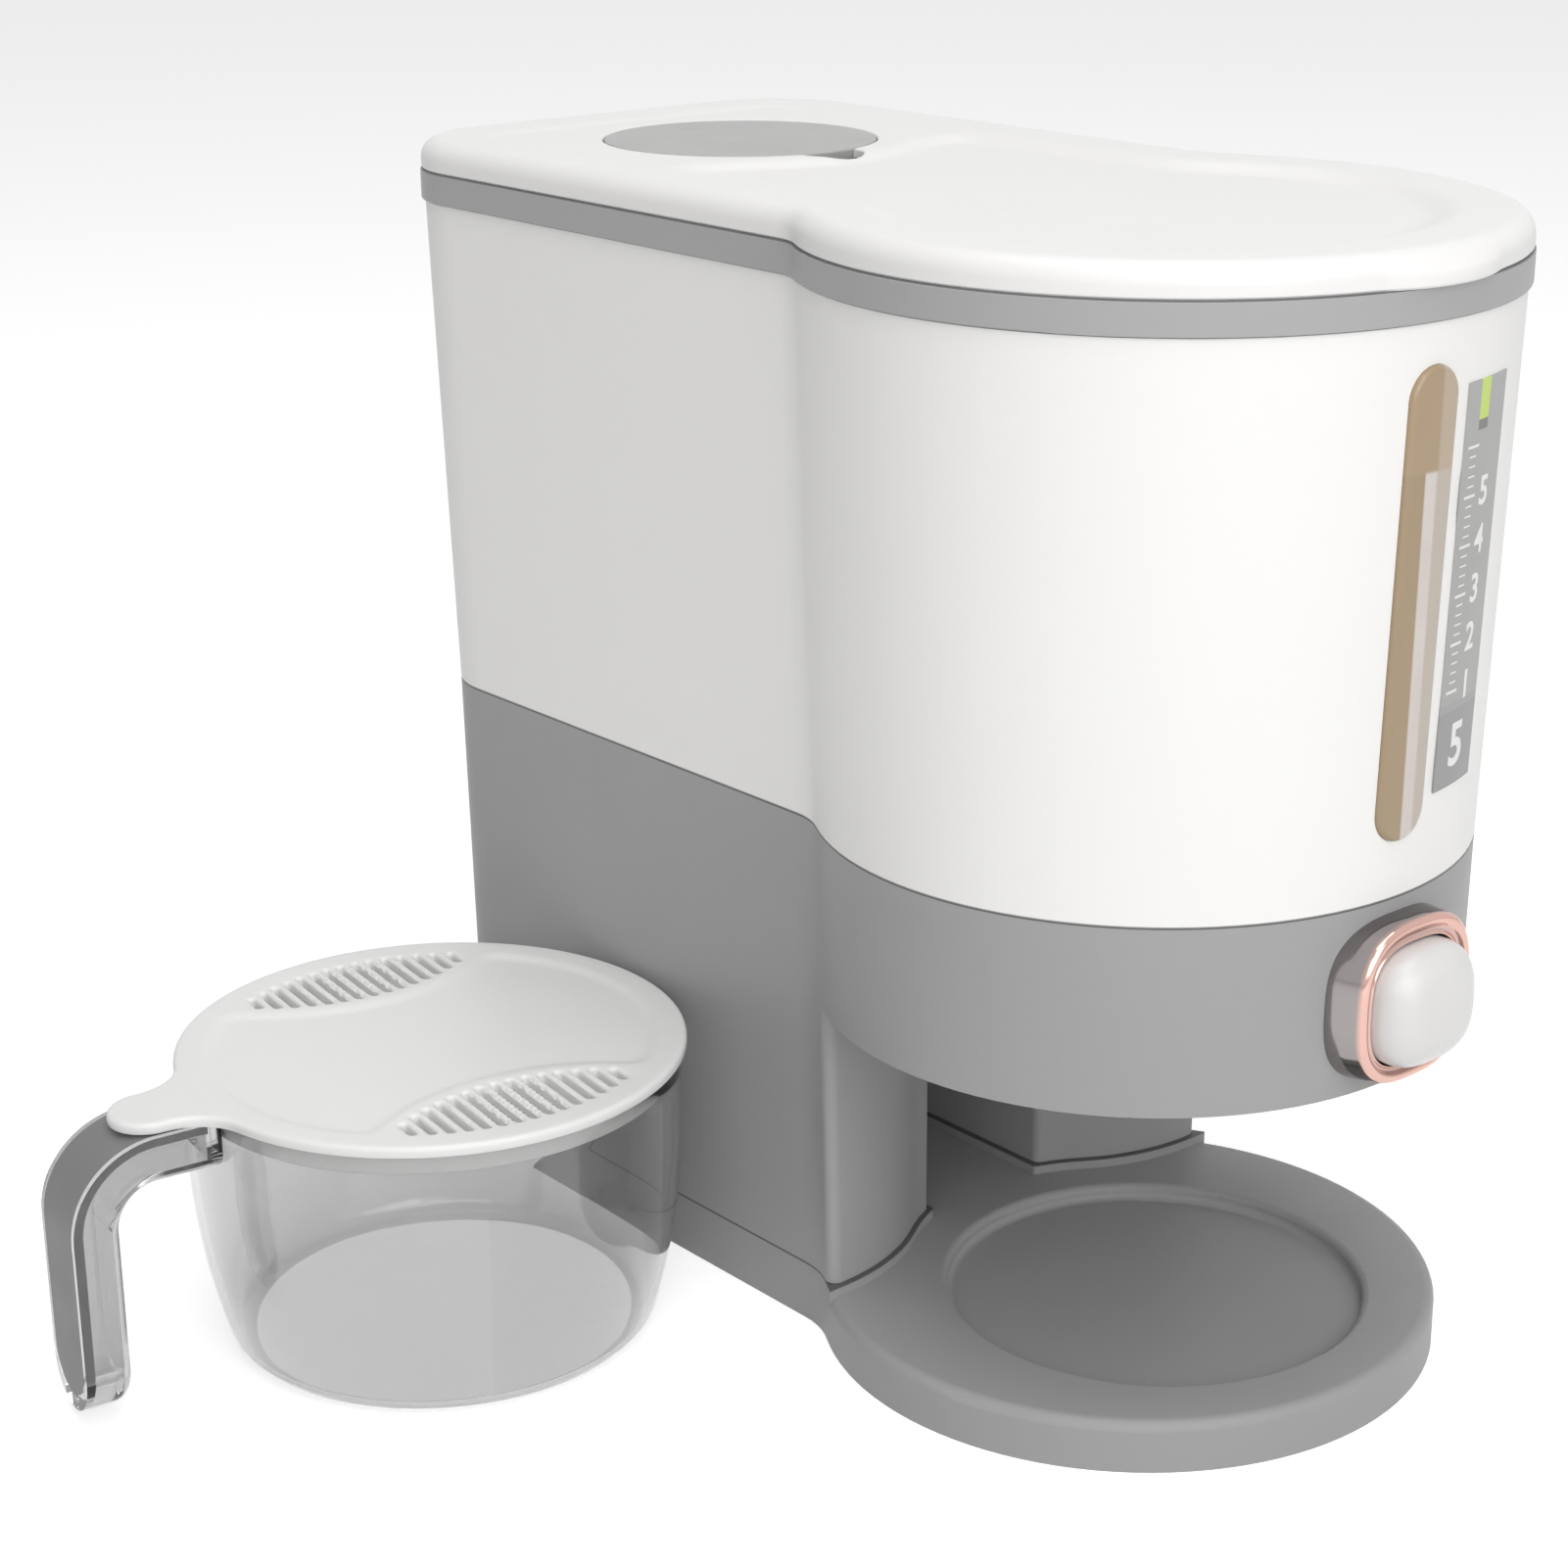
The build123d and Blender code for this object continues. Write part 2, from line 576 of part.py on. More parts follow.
def make_hopper():
    """Sloped floor of the tank, with a skirt that stands on the housing's ledge."""
    top = THROAT_Z + (REAR_Y - THROAT_D / 2) * tan(radians(REAR_SLOPE)) + 10.0
    plug = walls(LEDGE_Z, TANK_BOTTOM, WALL + SLIP) + walls(TANK_BOTTOM, top, WALL + SLIP)
    inside = slab(LEDGE_Z - 1, top, -WALL - SLIP - SKIRT_T)
    skirt = plug - (inside - funnel(SHEET_T))
    sheet = funnel(SHEET_T) & slab(THROAT_Z, top, -WALL - SLIP - SKIRT_T + TOUCH)
    hopper = skirt + sheet - funnel(0)
    notch = BEZEL_W / 2 + 6.0
    hopper = hopper - block(-notch, notch, -NOSE_R, -NOSE_R * 0.6, 0, BUTTON_Z + BEZEL_H / 2 + 0.9)
    throat = block(-THROAT_W / 2 - 2, THROAT_W / 2 + 2, -THROAT_D / 2 - 2, THROAT_D / 2 + 2, THROAT_Z, THROAT_Z + 6)
    return hopper + throat - block(-THROAT_W / 2, THROAT_W / 2, -THROAT_D / 2, THROAT_D / 2, 0, THROAT_Z + 7) \
        - funnel(0)


# Tank
def stadium(grow):
    """Outline of the sight window, as seen from the front."""
    return Pos(WINDOW_X, (WINDOW_LOW + WINDOW_HIGH) / 2) * Rot(0, 0, 90) * SlotOverall(
        WINDOW_HIGH - WINDOW_LOW + 2 * grow, WINDOW_W + 2 * grow)


def make_tank():
    """Tank wall, open at both ends, with a lap at the foot and a neck under the rim band."""
    outer = walls(TANK_BOTTOM, BAND_BOTTOM) + slab(BAND_BOTTOM, NECK_TOP, TANK_OUT - NECK_STEP)
    outer = outer + slab(TANK_BOTTOM - LAP_H + SLIP, TANK_BOTTOM, -LAP_T - 2 * TOUCH)
    inner = walls(TANK_BOTTOM, BAND_BOTTOM, WALL) + slab(BAND_BOTTOM, NECK_TOP, MOUTH_OUT)
    inner = inner + slab(TANK_BOTTOM - LAP_H, TANK_BOTTOM, -WALL)
    return outer - inner - upright(stadium(0), -NOSE_R - 10, 0)


def make_window_lens():
    """Clear window that stands a little proud, with a flange behind the wall."""
    low, high = WINDOW_LOW - FLANGE - 2, WINDOW_HIGH + FLANGE + 2
    back = walls(low, high, WALL + FLANGE_T)
    lens = upright(stadium(-TOUCH), -NOSE_R - 12, 0) & walls(low, high, -WINDOW_PROUD)
    flange = upright(stadium(FLANGE), -NOSE_R - 12, 0) & walls(low, high, WALL)
    lens = (lens + flange) - back
    return lens


def make_scale_strip():
    """Thin strip stuck to the wall to the right of the window."""
    shell = walls(STRIP_LOW, STRIP_HIGH, -STRIP_T) - walls(STRIP_LOW, STRIP_HIGH)
    a, b = radians(STRIP_FROM), radians(STRIP_TO)
    far = NOSE_R * 1.5
    wedge = make_face(Polyline([(0, 0), (far * sin(a), -far * cos(a)), (far * sin(b), -far * cos(b))], close=True))
    return shell & extrude(wedge, STRIP_HIGH + 10)


def make_rim_band():
    """Ring around the tank's rim, with a lip over its top edge."""
    band = slab(BAND_BOTTOM, BAND_TOP, BAND_OUT)
    band = fillet(band.edges().group_by(Axis.Z)[0] + band.edges().group_by(Axis.Z)[-1], 0.5)
    band = band - slab(BAND_BOTTOM - 1, NECK_TOP, TANK_OUT - NECK_STEP + TOUCH)
    return band - slab(BAND_BOTTOM - 1, BAND_TOP + 1, MOUTH_OUT)


# Lid
def dish_plan(grow):
    """Floor of the lid's dish, grown by grow: inside the rim, and clear of the round well."""
    reach = CAP_R + DISH_LAND - grow
    end = WELL_Y - (CAP_R + DISH_LAND) * cos(pi / 4) + grow
    panel = outline(grow - DISH_IN - DISH_SLOPE) - Pos(0, WELL_Y) * Circle(reach)
    panel = panel & Pos(0, end - 3 * NOSE_R) * Rectangle(4 * NOSE_R, 6 * NOSE_R)
    return fillet(panel.vertices().filter_by(lambda v: v.Y > WELL_Y - reach), 6.0 + grow)


def make_lid():
    """Lid with a rounded rim, a dished top, a plug below and a round well."""
    well_top = LID_TOP - PLATFORM_DEPTH
    lid = slab(BAND_TOP, LID_TOP, LID_OUT)
    lid = fillet(lid.edges().group_by(Axis.Z)[-1], LID_EDGE_R)
    front = NOSE_R + LID_OUT + GRIP_REACH
    grip = post(0, GRIP_BOW_R - front, BAND_TOP, BAND_TOP + LID_H * 0.6, GRIP_BOW_R)
    grip = fillet(grip.edges().group_by(Axis.Z)[-1], LID_H * 0.4)
    lid = lid + (grip & block(-GRIP_BOW_R, GRIP_BOW_R, -front - 1, -NOSE_R, BAND_TOP, LID_TOP))
    soft = DISH_SLOPE / (DISH_DEPTH - PLATFORM_DEPTH)
    lid = lid - loft([outline(-DISH_IN - PLATFORM_DEPTH * soft, well_top), outline(-DISH_IN, LID_TOP)], ruled=True)
    lid = lid - loft([Pos(0, 0, LID_TOP - DISH_DEPTH) * dish_plan(0), Pos(0, 0, well_top) * dish_plan(DISH_SLOPE)],
                     ruled=True)
    under = slab(BAND_TOP - 1, LID_TOP - DISH_DEPTH - LID_TOP_T, MOUTH_OUT - SLIP - PLUG_T)
    under = under - post(0, WELL_Y, 0, LID_TOP, CAP_R + SLIP + WALL)
    lid = lid - (under - post(0, WELL_Y - CAP_R, 0, LID_TOP, NOTCH_R + WALL))
    plug = slab(BAND_TOP - PLUG_DEPTH, BAND_TOP + 1, MOUTH_OUT - SLIP)
    plug = plug - slab(BAND_TOP - PLUG_DEPTH - 1, BAND_TOP + 2, MOUTH_OUT - SLIP - PLUG_T)
    groove = slab(SEAL_LOW, SEAL_LOW + SEAL_H, MOUTH_OUT) - slab(SEAL_LOW, SEAL_LOW + SEAL_H, MOUTH_OUT - SLIP - SEAL_D + 0.6)
    lid = lid + plug - groove
    lid = lid - post(0, WELL_Y, well_top - CAP_T - BASKET_T, LID_TOP + 5, CAP_R + SLIP)
    lid = lid - post(0, WELL_Y, 0, LID_TOP, BASKET_R + SLIP)
    lid = lid - post(0, WELL_Y - CAP_R, well_top - CAP_T - BASKET_T, LID_TOP + 5, NOTCH_R)
    return lid


SEAL_LOW = BAND_TOP - PLUG_DEPTH + 2.5


def make_lid_seal():
    """Soft ring in the groove of the lid's plug."""
    ring = slab(SEAL_LOW, SEAL_LOW + SEAL_H, MOUTH_OUT - TOUCH * 2)
    return ring - slab(SEAL_LOW - 1, SEAL_LOW + SEAL_H + 1, MOUTH_OUT - SLIP - SEAL_D + 0.6)


def make_desiccant_basket():
    """Round basket that hangs in the well, with slots around its side and holes below."""
    top = LID_TOP - PLATFORM_DEPTH - CAP_T
    basket = post(0, WELL_Y, top - BASKET_H, top, BASKET_R)
    basket = fillet(basket.edges().group_by(Axis.Z)[0], 3.0)
    basket = basket + post(0, WELL_Y, top - BASKET_T, top, CAP_R)
    basket = basket - post(0, WELL_Y, top - BASKET_H + BASKET_T, top + 1, BASKET_R - BASKET_T)
    for i in range(12):
        slot = Pos(BASKET_R, 0, top - BASKET_H / 2 - 1) * Box(8.0, 4.0, BASKET_H * 0.5)
        basket = basket - Pos(0, WELL_Y, 0) * Rot(0, 0, 30 * i) * slot
    for i in range(6):
        hole = Pos(BASKET_R * 0.55, 0, top - BASKET_H) * Cylinder(3.0, 10.0)
        basket = basket - Pos(0, WELL_Y, 0) * Rot(0, 0, 60 * i) * hole
    return basket


def make_desiccant_cap():
    """Flush round cap over the basket."""
    top = LID_TOP - PLATFORM_DEPTH
    cap = post(0, WELL_Y, top - CAP_T, top, CAP_R)
    cap = fillet(cap.edges().group_by(Axis.Z)[-1], 0.5)
    spigot_r = BASKET_R - BASKET_T - SLIP
    spigot = post(0, WELL_Y, top - CAP_T - 4.0, top - CAP_T, spigot_r) - post(
        0, WELL_Y, top - CAP_T - 5.0, top - CAP_T, spigot_r - 1.5)
    return cap + spigot


# Cup
CUP_X = -(SIDE_W + draft(CUP_H + CUP_LID_T) + CUP_CLEAR + CUP_LID_R)


def at_cup(shape):
    """Moves a piece drawn about the Z axis with the handle towards +X to the cup's place."""
    return Pos(CUP_X, CUP_Y, 0) * Rot(0, 0, HANDLE_ANGLE) * shape


def cup_body_of(inset, top):
    """Revolved bowl: flat foot, round corner, gently bowed wall that stands upright at the top."""
    rise = CUP_UPRIGHT_Z - CUP_CORNER_Z
    bow = (rise ** 2 + CUP_CORNER_IN ** 2) / (2 * CUP_CORNER_IN)
    lean = atan2(rise, bow - CUP_CORNER_IN)
    corner = CUP_CORNER_Z / (1 - sin(lean))
    foot = CUP_R - CUP_CORNER_IN - corner * cos(lean)
    bow_c = (CUP_R - bow, CUP_UPRIGHT_Z)
    cor_c = (foot, corner)

    def on(c, r, a):
        return (c[0] + r * cos(a), c[1] + r * sin(a))

    r1, r2 = corner - inset, bow - inset
    profile = make_face([
        Line((0, inset), (foot, inset)),
        ThreePointArc((foot, inset), on(cor_c, r1, -(pi / 2 + lean) / 2), on(cor_c, r1, -lean)),
        ThreePointArc(on(bow_c, r2, -lean), on(bow_c, r2, -lean / 2), on(bow_c, r2, 0)),
        Line(on(bow_c, r2, 0), (CUP_R - inset, top)),
        Line((CUP_R - inset, top), (0, top)),
        Line((0, top), (0, inset)),
    ])
    return revolve(Plane.XZ * profile, Axis.Z)


HANDLE_TOP = CUP_H - HANDLE_DROP


def handle_run(near, far, start, half, lift=0.0):
    """Strip of the handle between two depths below its outer face, half wide each side."""
    bx, bz = HANDLE_REACH - HANDLE_BEND, HANDLE_TOP - HANDLE_BEND
    k = cos(pi / 4)
    a, b = HANDLE_BEND - near, HANDLE_BEND - far
    profile = make_face([
        Line((start, bz + a), (bx, bz + a)),
        ThreePointArc((bx, bz + a), (bx + a * k, bz + a * k), (bx + a, bz)),
        Line((bx + a, bz), (bx + a, 0)),
        Line((bx + a, 0), (bx + b, 0)),
        Line((bx + b, 0), (bx + b, bz)),
        ThreePointArc((bx + b, bz), (bx + b * k, bz + b * k), (bx, bz + b)),
        Line((bx, bz + b), (start, bz + b)),
        Line((start, bz + b), (start, bz + a)),
    ])
    strip = extrude(Plane.XZ * profile, half, both=True)
    low = HANDLE_LOW + HANDLE_W / 2 - half + lift
    tall = HANDLE_TOP + 10 - low - half
    face = Pos(0, low + half) * Circle(half) + Pos(0, low + half + tall / 2) * Rectangle(2 * half, tall)
    return strip & extrude(Plane.YZ * face, HANDLE_REACH + 10)


def depth_in_handle(p):
    """Distance of a point from the handle's outer face."""
    bx, bz = HANDLE_REACH - HANDLE_BEND, HANDLE_TOP - HANDLE_BEND
    if p.X <= bx:
        return HANDLE_TOP - p.Z
    if p.Z <= bz:
        return HANDLE_REACH - p.X
    return HANDLE_BEND - sqrt((p.X - bx) ** 2 + (p.Z - bz) ** 2)


def make_measuring_cup():
    """Clear round cup, open at the top."""
    return at_cup(cup_body_of(0, CUP_H) - cup_body_of(CUP_T, CUP_H + 5))


def make_cup_handle():
    """Clear channel handle, fixed to the side of the cup."""
    handle = handle_run(0, HANDLE_D, CUP_R - CUP_T, HANDLE_W / 2)
    inner = handle.edges().filter_by(lambda e: abs(depth_in_handle(e @ 0.5) - HANDLE_D) < 0.01
                                     and abs((e @ 0.5).X - CUP_R) > 2 * CUP_T)
    handle = fillet(inner, 4.0)
    seat = HANDLE_W / 2 - HANDLE_WALL
    handle = handle - handle_run(-5.0, INSERT_D + TOUCH, CUP_R + CUP_T, seat, INSERT_LIFT)
    handle = handle - handle_run(0, HANDLE_D - HANDLE_WALL * 1.5, CUP_R + CUP_T, seat - HANDLE_LEDGE, INSERT_LIFT)
    return at_cup(handle - post(0, 0, 0, CUP_H, CUP_R + TOUCH / 5))


def make_handle_insert():
    """Grip strip that lies on the ledges of the handle's channel, level with its outer side."""
    return at_cup(handle_run(0, INSERT_D, CUP_R + CUP_T + TOUCH, HANDLE_W / 2 - HANDLE_WALL - TOUCH, INSERT_LIFT))


def make_cup_lid():
    """Cup lid: plate with a thumb tongue, a sunken middle, two rows of drain slots and a skirt."""
    plan = Circle(CUP_LID_R) + Pos((TONGUE_REACH - TONGUE_W / 2) / 2, 0) * Rectangle(
        TONGUE_REACH - TONGUE_W / 2, TONGUE_W)
    plan = plan + Pos(TONGUE_REACH - TONGUE_W / 2, 0) * Circle(TONGUE_W / 2)
    waist = plan.vertices().filter_by(lambda v: abs(sqrt(v.X ** 2 + v.Y ** 2) - CUP_LID_R) < 0.1)
    plan = fillet(waist, 14.0)
    lid = Pos(0, 0, CUP_H) * extrude(plan, CUP_LID_T)
    lid = fillet(lid.edges().group_by(Axis.Z)[-1], 1.0)
    sunk = Circle(LID_RECESS_R)
    for s in (1, -1):
        sunk = sunk - Pos(0, s * (PAD_V + PAD_BOW_R)) * Circle(PAD_BOW_R)
    sunk = fillet(sunk.vertices(), 6.0)
    lid = lid - Pos(0, 0, CUP_H + CUP_LID_T - LID_RECESS) * extrude(sunk, LID_RECESS * 2)
    skirt_r = CUP_R - CUP_T - SLIP
    lid = lid + post(0, 0, CUP_H - LID_SKIRT_H, CUP_H - SKIRT_STEP_H, skirt_r)
    lid = lid + post(0, 0, CUP_H - LID_SKIRT_H, CUP_H, skirt_r - SKIRT_STEP_IN)
    lid = lid - post(0, 0, CUP_H - LID_SKIRT_H - 1, CUP_H, skirt_r - LID_SKIRT_T)
    span = (SLOTS - 1) / 2
    for i in range(SLOTS):
        u = (i - span) * SLOT_PITCH
        near = SLOT_IN + SLOT_BOW_R - sqrt(SLOT_BOW_R ** 2 - u ** 2)
        far = sqrt(SLOT_OUT_R ** 2 - u ** 2)
        for s in (1, -1):
            slot = Pos(u, s * (near + far) / 2) * Rot(0, 0, 90) * SlotOverall(far - near, SLOT_GAP_W)
            lid = lid - Pos(0, 0, CUP_H - 1) * extrude(slot, CUP_LID_T + 2)
    return at_cup(lid)


PIECES = {
    "base_plate": make_base_plate,
    "base_cover": make_base_cover,
    "foot_pads": make_foot_pads,
    "cover_screws": make_cover_screws,
    "column_screws": make_column_screws,
    "lower_housing": make_lower_housing,
    "outlet_chute": make_outlet_chute,
    "chute_screws": make_chute_screws,
    "gate_plate": make_gate_plate,
    "plunger": make_plunger,
    "button_guide": make_button_guide,
    "guide_screws": make_guide_screws,
    "button_bezel": make_button_bezel,
    "button_cap": make_button_cap,
    "return_spring": make_return_spring,
    "hopper": make_hopper,
    "tank": make_tank,
    "window_lens": make_window_lens,
    "scale_strip": make_scale_strip,
    "rim_band": make_rim_band,
    "lid": make_lid,
    "lid_seal": make_lid_seal,
    "desiccant_basket": make_desiccant_basket,
    "desiccant_cap": make_desiccant_cap,
    "measuring_cup": make_measuring_cup,
    "cup_handle": make_cup_handle,
    "handle_insert": make_handle_insert,
    "cup_lid": make_cup_lid,
}

os.makedirs("parts", exist_ok=True)
for name, make in PIECES.items():
    export_step(make(), "parts/" + name + ".step")
    print("wrote", name)
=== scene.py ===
# %% [markdown]
# # Rice dispenser with a measuring cup
# The dispenser is a moulded plastic bin: a white tank on a grey column, a dished lid, and a push
# button with a plated ring over a round tray. A clear cup with its own lid stands beside it.
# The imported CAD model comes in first, as a fixed frame. Everything else is fitted to it.

# %% Load the frame
import bpy
import bmesh
import numpy as np
from math import atan2, cos, pi, radians, sin, sqrt
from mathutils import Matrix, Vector
from mathutils.geometry import delaunay_2d_cdt


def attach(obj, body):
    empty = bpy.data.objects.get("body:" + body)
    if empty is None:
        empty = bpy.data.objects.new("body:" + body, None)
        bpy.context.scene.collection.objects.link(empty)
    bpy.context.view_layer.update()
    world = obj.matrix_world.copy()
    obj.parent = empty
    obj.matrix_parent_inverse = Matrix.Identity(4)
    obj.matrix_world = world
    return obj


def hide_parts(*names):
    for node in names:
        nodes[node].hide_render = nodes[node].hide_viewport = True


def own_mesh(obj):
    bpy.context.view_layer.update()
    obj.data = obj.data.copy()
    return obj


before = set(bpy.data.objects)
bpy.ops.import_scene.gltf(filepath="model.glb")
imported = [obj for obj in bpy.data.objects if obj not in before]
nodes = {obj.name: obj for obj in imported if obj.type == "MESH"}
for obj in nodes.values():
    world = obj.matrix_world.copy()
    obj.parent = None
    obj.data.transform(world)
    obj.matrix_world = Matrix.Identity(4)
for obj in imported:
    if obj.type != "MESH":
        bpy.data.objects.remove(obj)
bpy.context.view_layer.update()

# %% [markdown]
# ## Camera
# The product stands a little turned, seen from above. A long lens keeps the uprights nearly
# parallel, and a small shift puts the bin right of the middle, so that the cup has room.

# %% Camera
scene = bpy.context.scene
camera = bpy.data.objects.new("camera", bpy.data.cameras.new("camera"))
scene.collection.objects.link(camera)
scene.camera = camera
camera.location = (-0.5142, -0.4784, 0.3850)
aim = Vector((0.0, 0.1000, 0.11506))
camera.rotation_euler = (aim - camera.location).to_track_quat("-Z", "Y").to_euler()
camera.data.sensor_width = 36.0
camera.data.lens = 71.34
camera.data.shift_x = -0.04966
camera.data.clip_start = 0.01
camera.data.clip_end = 50.0
print("camera at", tuple(round(v, 3) for v in camera.location))

# %% [markdown]
# ## Studio
# A pale floor and even, soft light, as in a product studio. The floor is plain matt white. The
# camera, and any reflection or clear wall that looks at it, gets a little extra white from it, so
# that it closes with the background while the contact shadow stays.

# %% Floor
def link(tree, out_socket, in_socket):
    """Joins an output socket to an input socket."""
    tree.links.new(out_socket, in_socket)


def feed(tree, value, in_socket):
    """Links a socket, or sets a plain value."""
    if isinstance(value, bpy.types.NodeSocket):
        link(tree, value, in_socket)
    else:
        in_socket.default_value = value


def maths(tree, operation, a, b=0.0):
    """A Math node over two values or sockets."""
    node = tree.nodes.new("ShaderNodeMath")
    node.operation = operation
    feed(tree, a, node.inputs[0])
    feed(tree, b, node.inputs[1])
    return node.outputs[0]


def seen_directly(tree, through):
    """1 for rays from the camera or a reflection, and a lesser value for rays through clear plastic."""
    path = tree.nodes.new("ShaderNodeLightPath").outputs
    mirrored = maths(tree, "SUBTRACT", path["Is Glossy Ray"], path["Is Transmission Ray"])
    passed = maths(tree, "MULTIPLY", path["Is Transmission Ray"], through)
    return maths(tree, "MAXIMUM", maths(tree, "MAXIMUM", path["Is Camera Ray"], mirrored), passed)


FLOOR_HALF = 40.0
FLOOR_GLOW, FLOOR_THROUGH = 0.60, 0.345


def make_floor():
    me = bpy.data.meshes.new("floor")
    s = FLOOR_HALF
    me.from_pydata([(-s, -s, 0), (s, -s, 0), (s, s, 0), (-s, s, 0)], [], [(0, 1, 2, 3)])
    ob = bpy.data.objects.new("floor", me)
    scene.collection.objects.link(ob)
    mat = bpy.data.materials.new("studio_floor")
    mat.use_nodes = True
    tree = mat.node_tree
    tree.nodes.clear()
    out = tree.nodes.new("ShaderNodeOutputMaterial")
    add = tree.nodes.new("ShaderNodeAddShader")
    matt = tree.nodes.new("ShaderNodeBsdfDiffuse")
    matt.inputs["Color"].default_value = (0.80, 0.80, 0.80, 1)
    glow = tree.nodes.new("ShaderNodeEmission")
    glow.inputs["Color"].default_value = (1, 1, 1, 1)
    lift = maths(tree, "MULTIPLY", seen_directly(tree, FLOOR_THROUGH), FLOOR_GLOW)
    link(tree, lift, glow.inputs["Strength"])
    link(tree, matt.outputs[0], add.inputs[0])
    link(tree, glow.outputs[0], add.inputs[1])
    link(tree, add.outputs[0], out.inputs["Surface"])
    me.materials.append(mat)
    return ob


floor = make_floor()
print("floor ready")

# %% [markdown]
# ## Light
# Five large soft lamps stand in front, above and to the left, where the photograph's light comes
# from. The sky gives a weak, even fill, and it is white where the camera or a reflection sees it.

# %% Sky and lamps
SKY_LOW, SKY_HIGH, SKY_THROUGH = 0.28, 1.0, 0.55

world = bpy.data.worlds.new("studio")
scene.world = world
world.use_nodes = True
tree = world.node_tree
tree.nodes.clear()
sky_out = tree.nodes.new("ShaderNodeOutputWorld")
sky = tree.nodes.new("ShaderNodeBackground")
sky.inputs["Color"].default_value = (1, 1, 1, 1)
level = tree.nodes.new("ShaderNodeMapRange")
level.inputs["To Min"].default_value = SKY_LOW
level.inputs["To Max"].default_value = SKY_HIGH
link(tree, seen_directly(tree, SKY_THROUGH), level.inputs["Value"])
link(tree, level.outputs["Result"], sky.inputs["Strength"])
link(tree, sky.outputs[0], sky_out.inputs["Surface"])


def lamp(name, place, target, size, watts):
    """A square soft lamp that looks from its place at a target."""
    data = bpy.data.lights.new(name, "AREA")
    data.shape = "SQUARE"
    data.size = size
    data.energy = watts
    ob = bpy.data.objects.new(name, data)
    scene.collection.objects.link(ob)
    ob.location = place
    ob.rotation_euler = (Vector(target) - Vector(place)).to_track_quat("-Z", "Y").to_euler()
    return ob


middle = (0.0, 0.05, 0.14)
lamp("front_soft", (-0.30, -1.62, 0.76), middle, 1.1, 6.3)
lamp("front_left_soft", (-0.71, -1.48, 0.76), middle, 1.1, 3.2)
lamp("high_front_soft", (-0.49, -1.00, 1.52), middle, 1.1, 5.2)
lamp("left_near_soft", (-0.90, -0.70, 0.66), (-0.06, 0.08, 0.16), 0.8, 2.7)
lamp("top_soft", (-0.05, 0.05, 1.90), (0.0, 0.05, 0.20), 1.5, 13.0)
scene.view_settings.view_transform = "Standard"

# %% [markdown]
# ## Finishes
# Moulded plastic is never one flat colour: the tool leaves a fine grain, the colour is faintly
# uneven, and the gloss changes a little over the surface. One helper makes such a plastic from
# noise on Object coordinates, with the grain in real size, so every piece shares the same scale.
# Where two mouldings meet there is a real joint, and the shade in its narrow gap is painted as a
# fine dark line, so the helper can darken given heights. It can paint the shade in a hollow too.

# %% Plastic helper
def srgb(r, g, b):
    """A colour given as it shows on a screen, 0 to 255, as the shader's linear values."""
    def one(v):
        v = v / 255.0
        return v / 12.92 if v <= 0.04045 else ((v + 0.055) / 1.055) ** 2.4
    return (one(r), one(g), one(b), 1.0)


def noise(tree, coord, scale, detail=3.0):
    """Cloudy values round one half, with so many clouds to the metre."""
    node = tree.nodes.new("ShaderNodeTexNoise")
    node.inputs["Scale"].default_value = scale
    node.inputs["Detail"].default_value = detail
    link(tree, coord, node.inputs["Vector"])
    return node.outputs["Fac"]


def spread(tree, fac, low, high, start=0.3, end=0.7):
    """Maps a value from start..end to low..high."""
    node = tree.nodes.new("ShaderNodeMapRange")
    node.inputs["From Min"].default_value = start
    node.inputs["From Max"].default_value = end
    node.inputs["To Min"].default_value = low
    node.inputs["To Max"].default_value = high
    link(tree, fac, node.inputs["Value"])
    return node.outputs["Result"]


def blend_colours(tree, fac, first, second):
    """The first colour at 0 and the second at 1; each may be a value or a socket."""
    mix = tree.nodes.new("ShaderNodeMix")
    mix.data_type = "RGBA"
    for number, value in ((0, fac), (6, first), (7, second)):
        feed(tree, value, mix.inputs[number])
    return mix.outputs[2]


def axis_of(tree, coord, axis):
    """One of X, Y and Z of a vector."""
    split = tree.nodes.new("ShaderNodeSeparateXYZ")
    link(tree, coord, split.inputs[0])
    return split.outputs[axis]


def band_of(tree, value, low, high):
    """1 where a value lies between two limits."""
    above = maths(tree, "GREATER_THAN", value, low)
    return maths(tree, "MULTIPLY", above, maths(tree, "LESS_THAN", value, high))


def scaled(colour, share):
    """A colour made darker or lighter."""
    return tuple(min(1.0, c * share) for c in colour[:3]) + (1.0,)


def surface(name):
    """A new material: it, its tree, its surface node and its Object coordinates."""
    mat = bpy.data.materials.new(name)
    mat.use_nodes = True
    tree = mat.node_tree
    return mat, tree, tree.nodes["Principled BSDF"], tree.nodes.new("ShaderNodeTexCoord").outputs["Object"]


SEAM_PAINTED_SHADE, NOTCH_PAINTED_SHADE = 0.35, 0.12


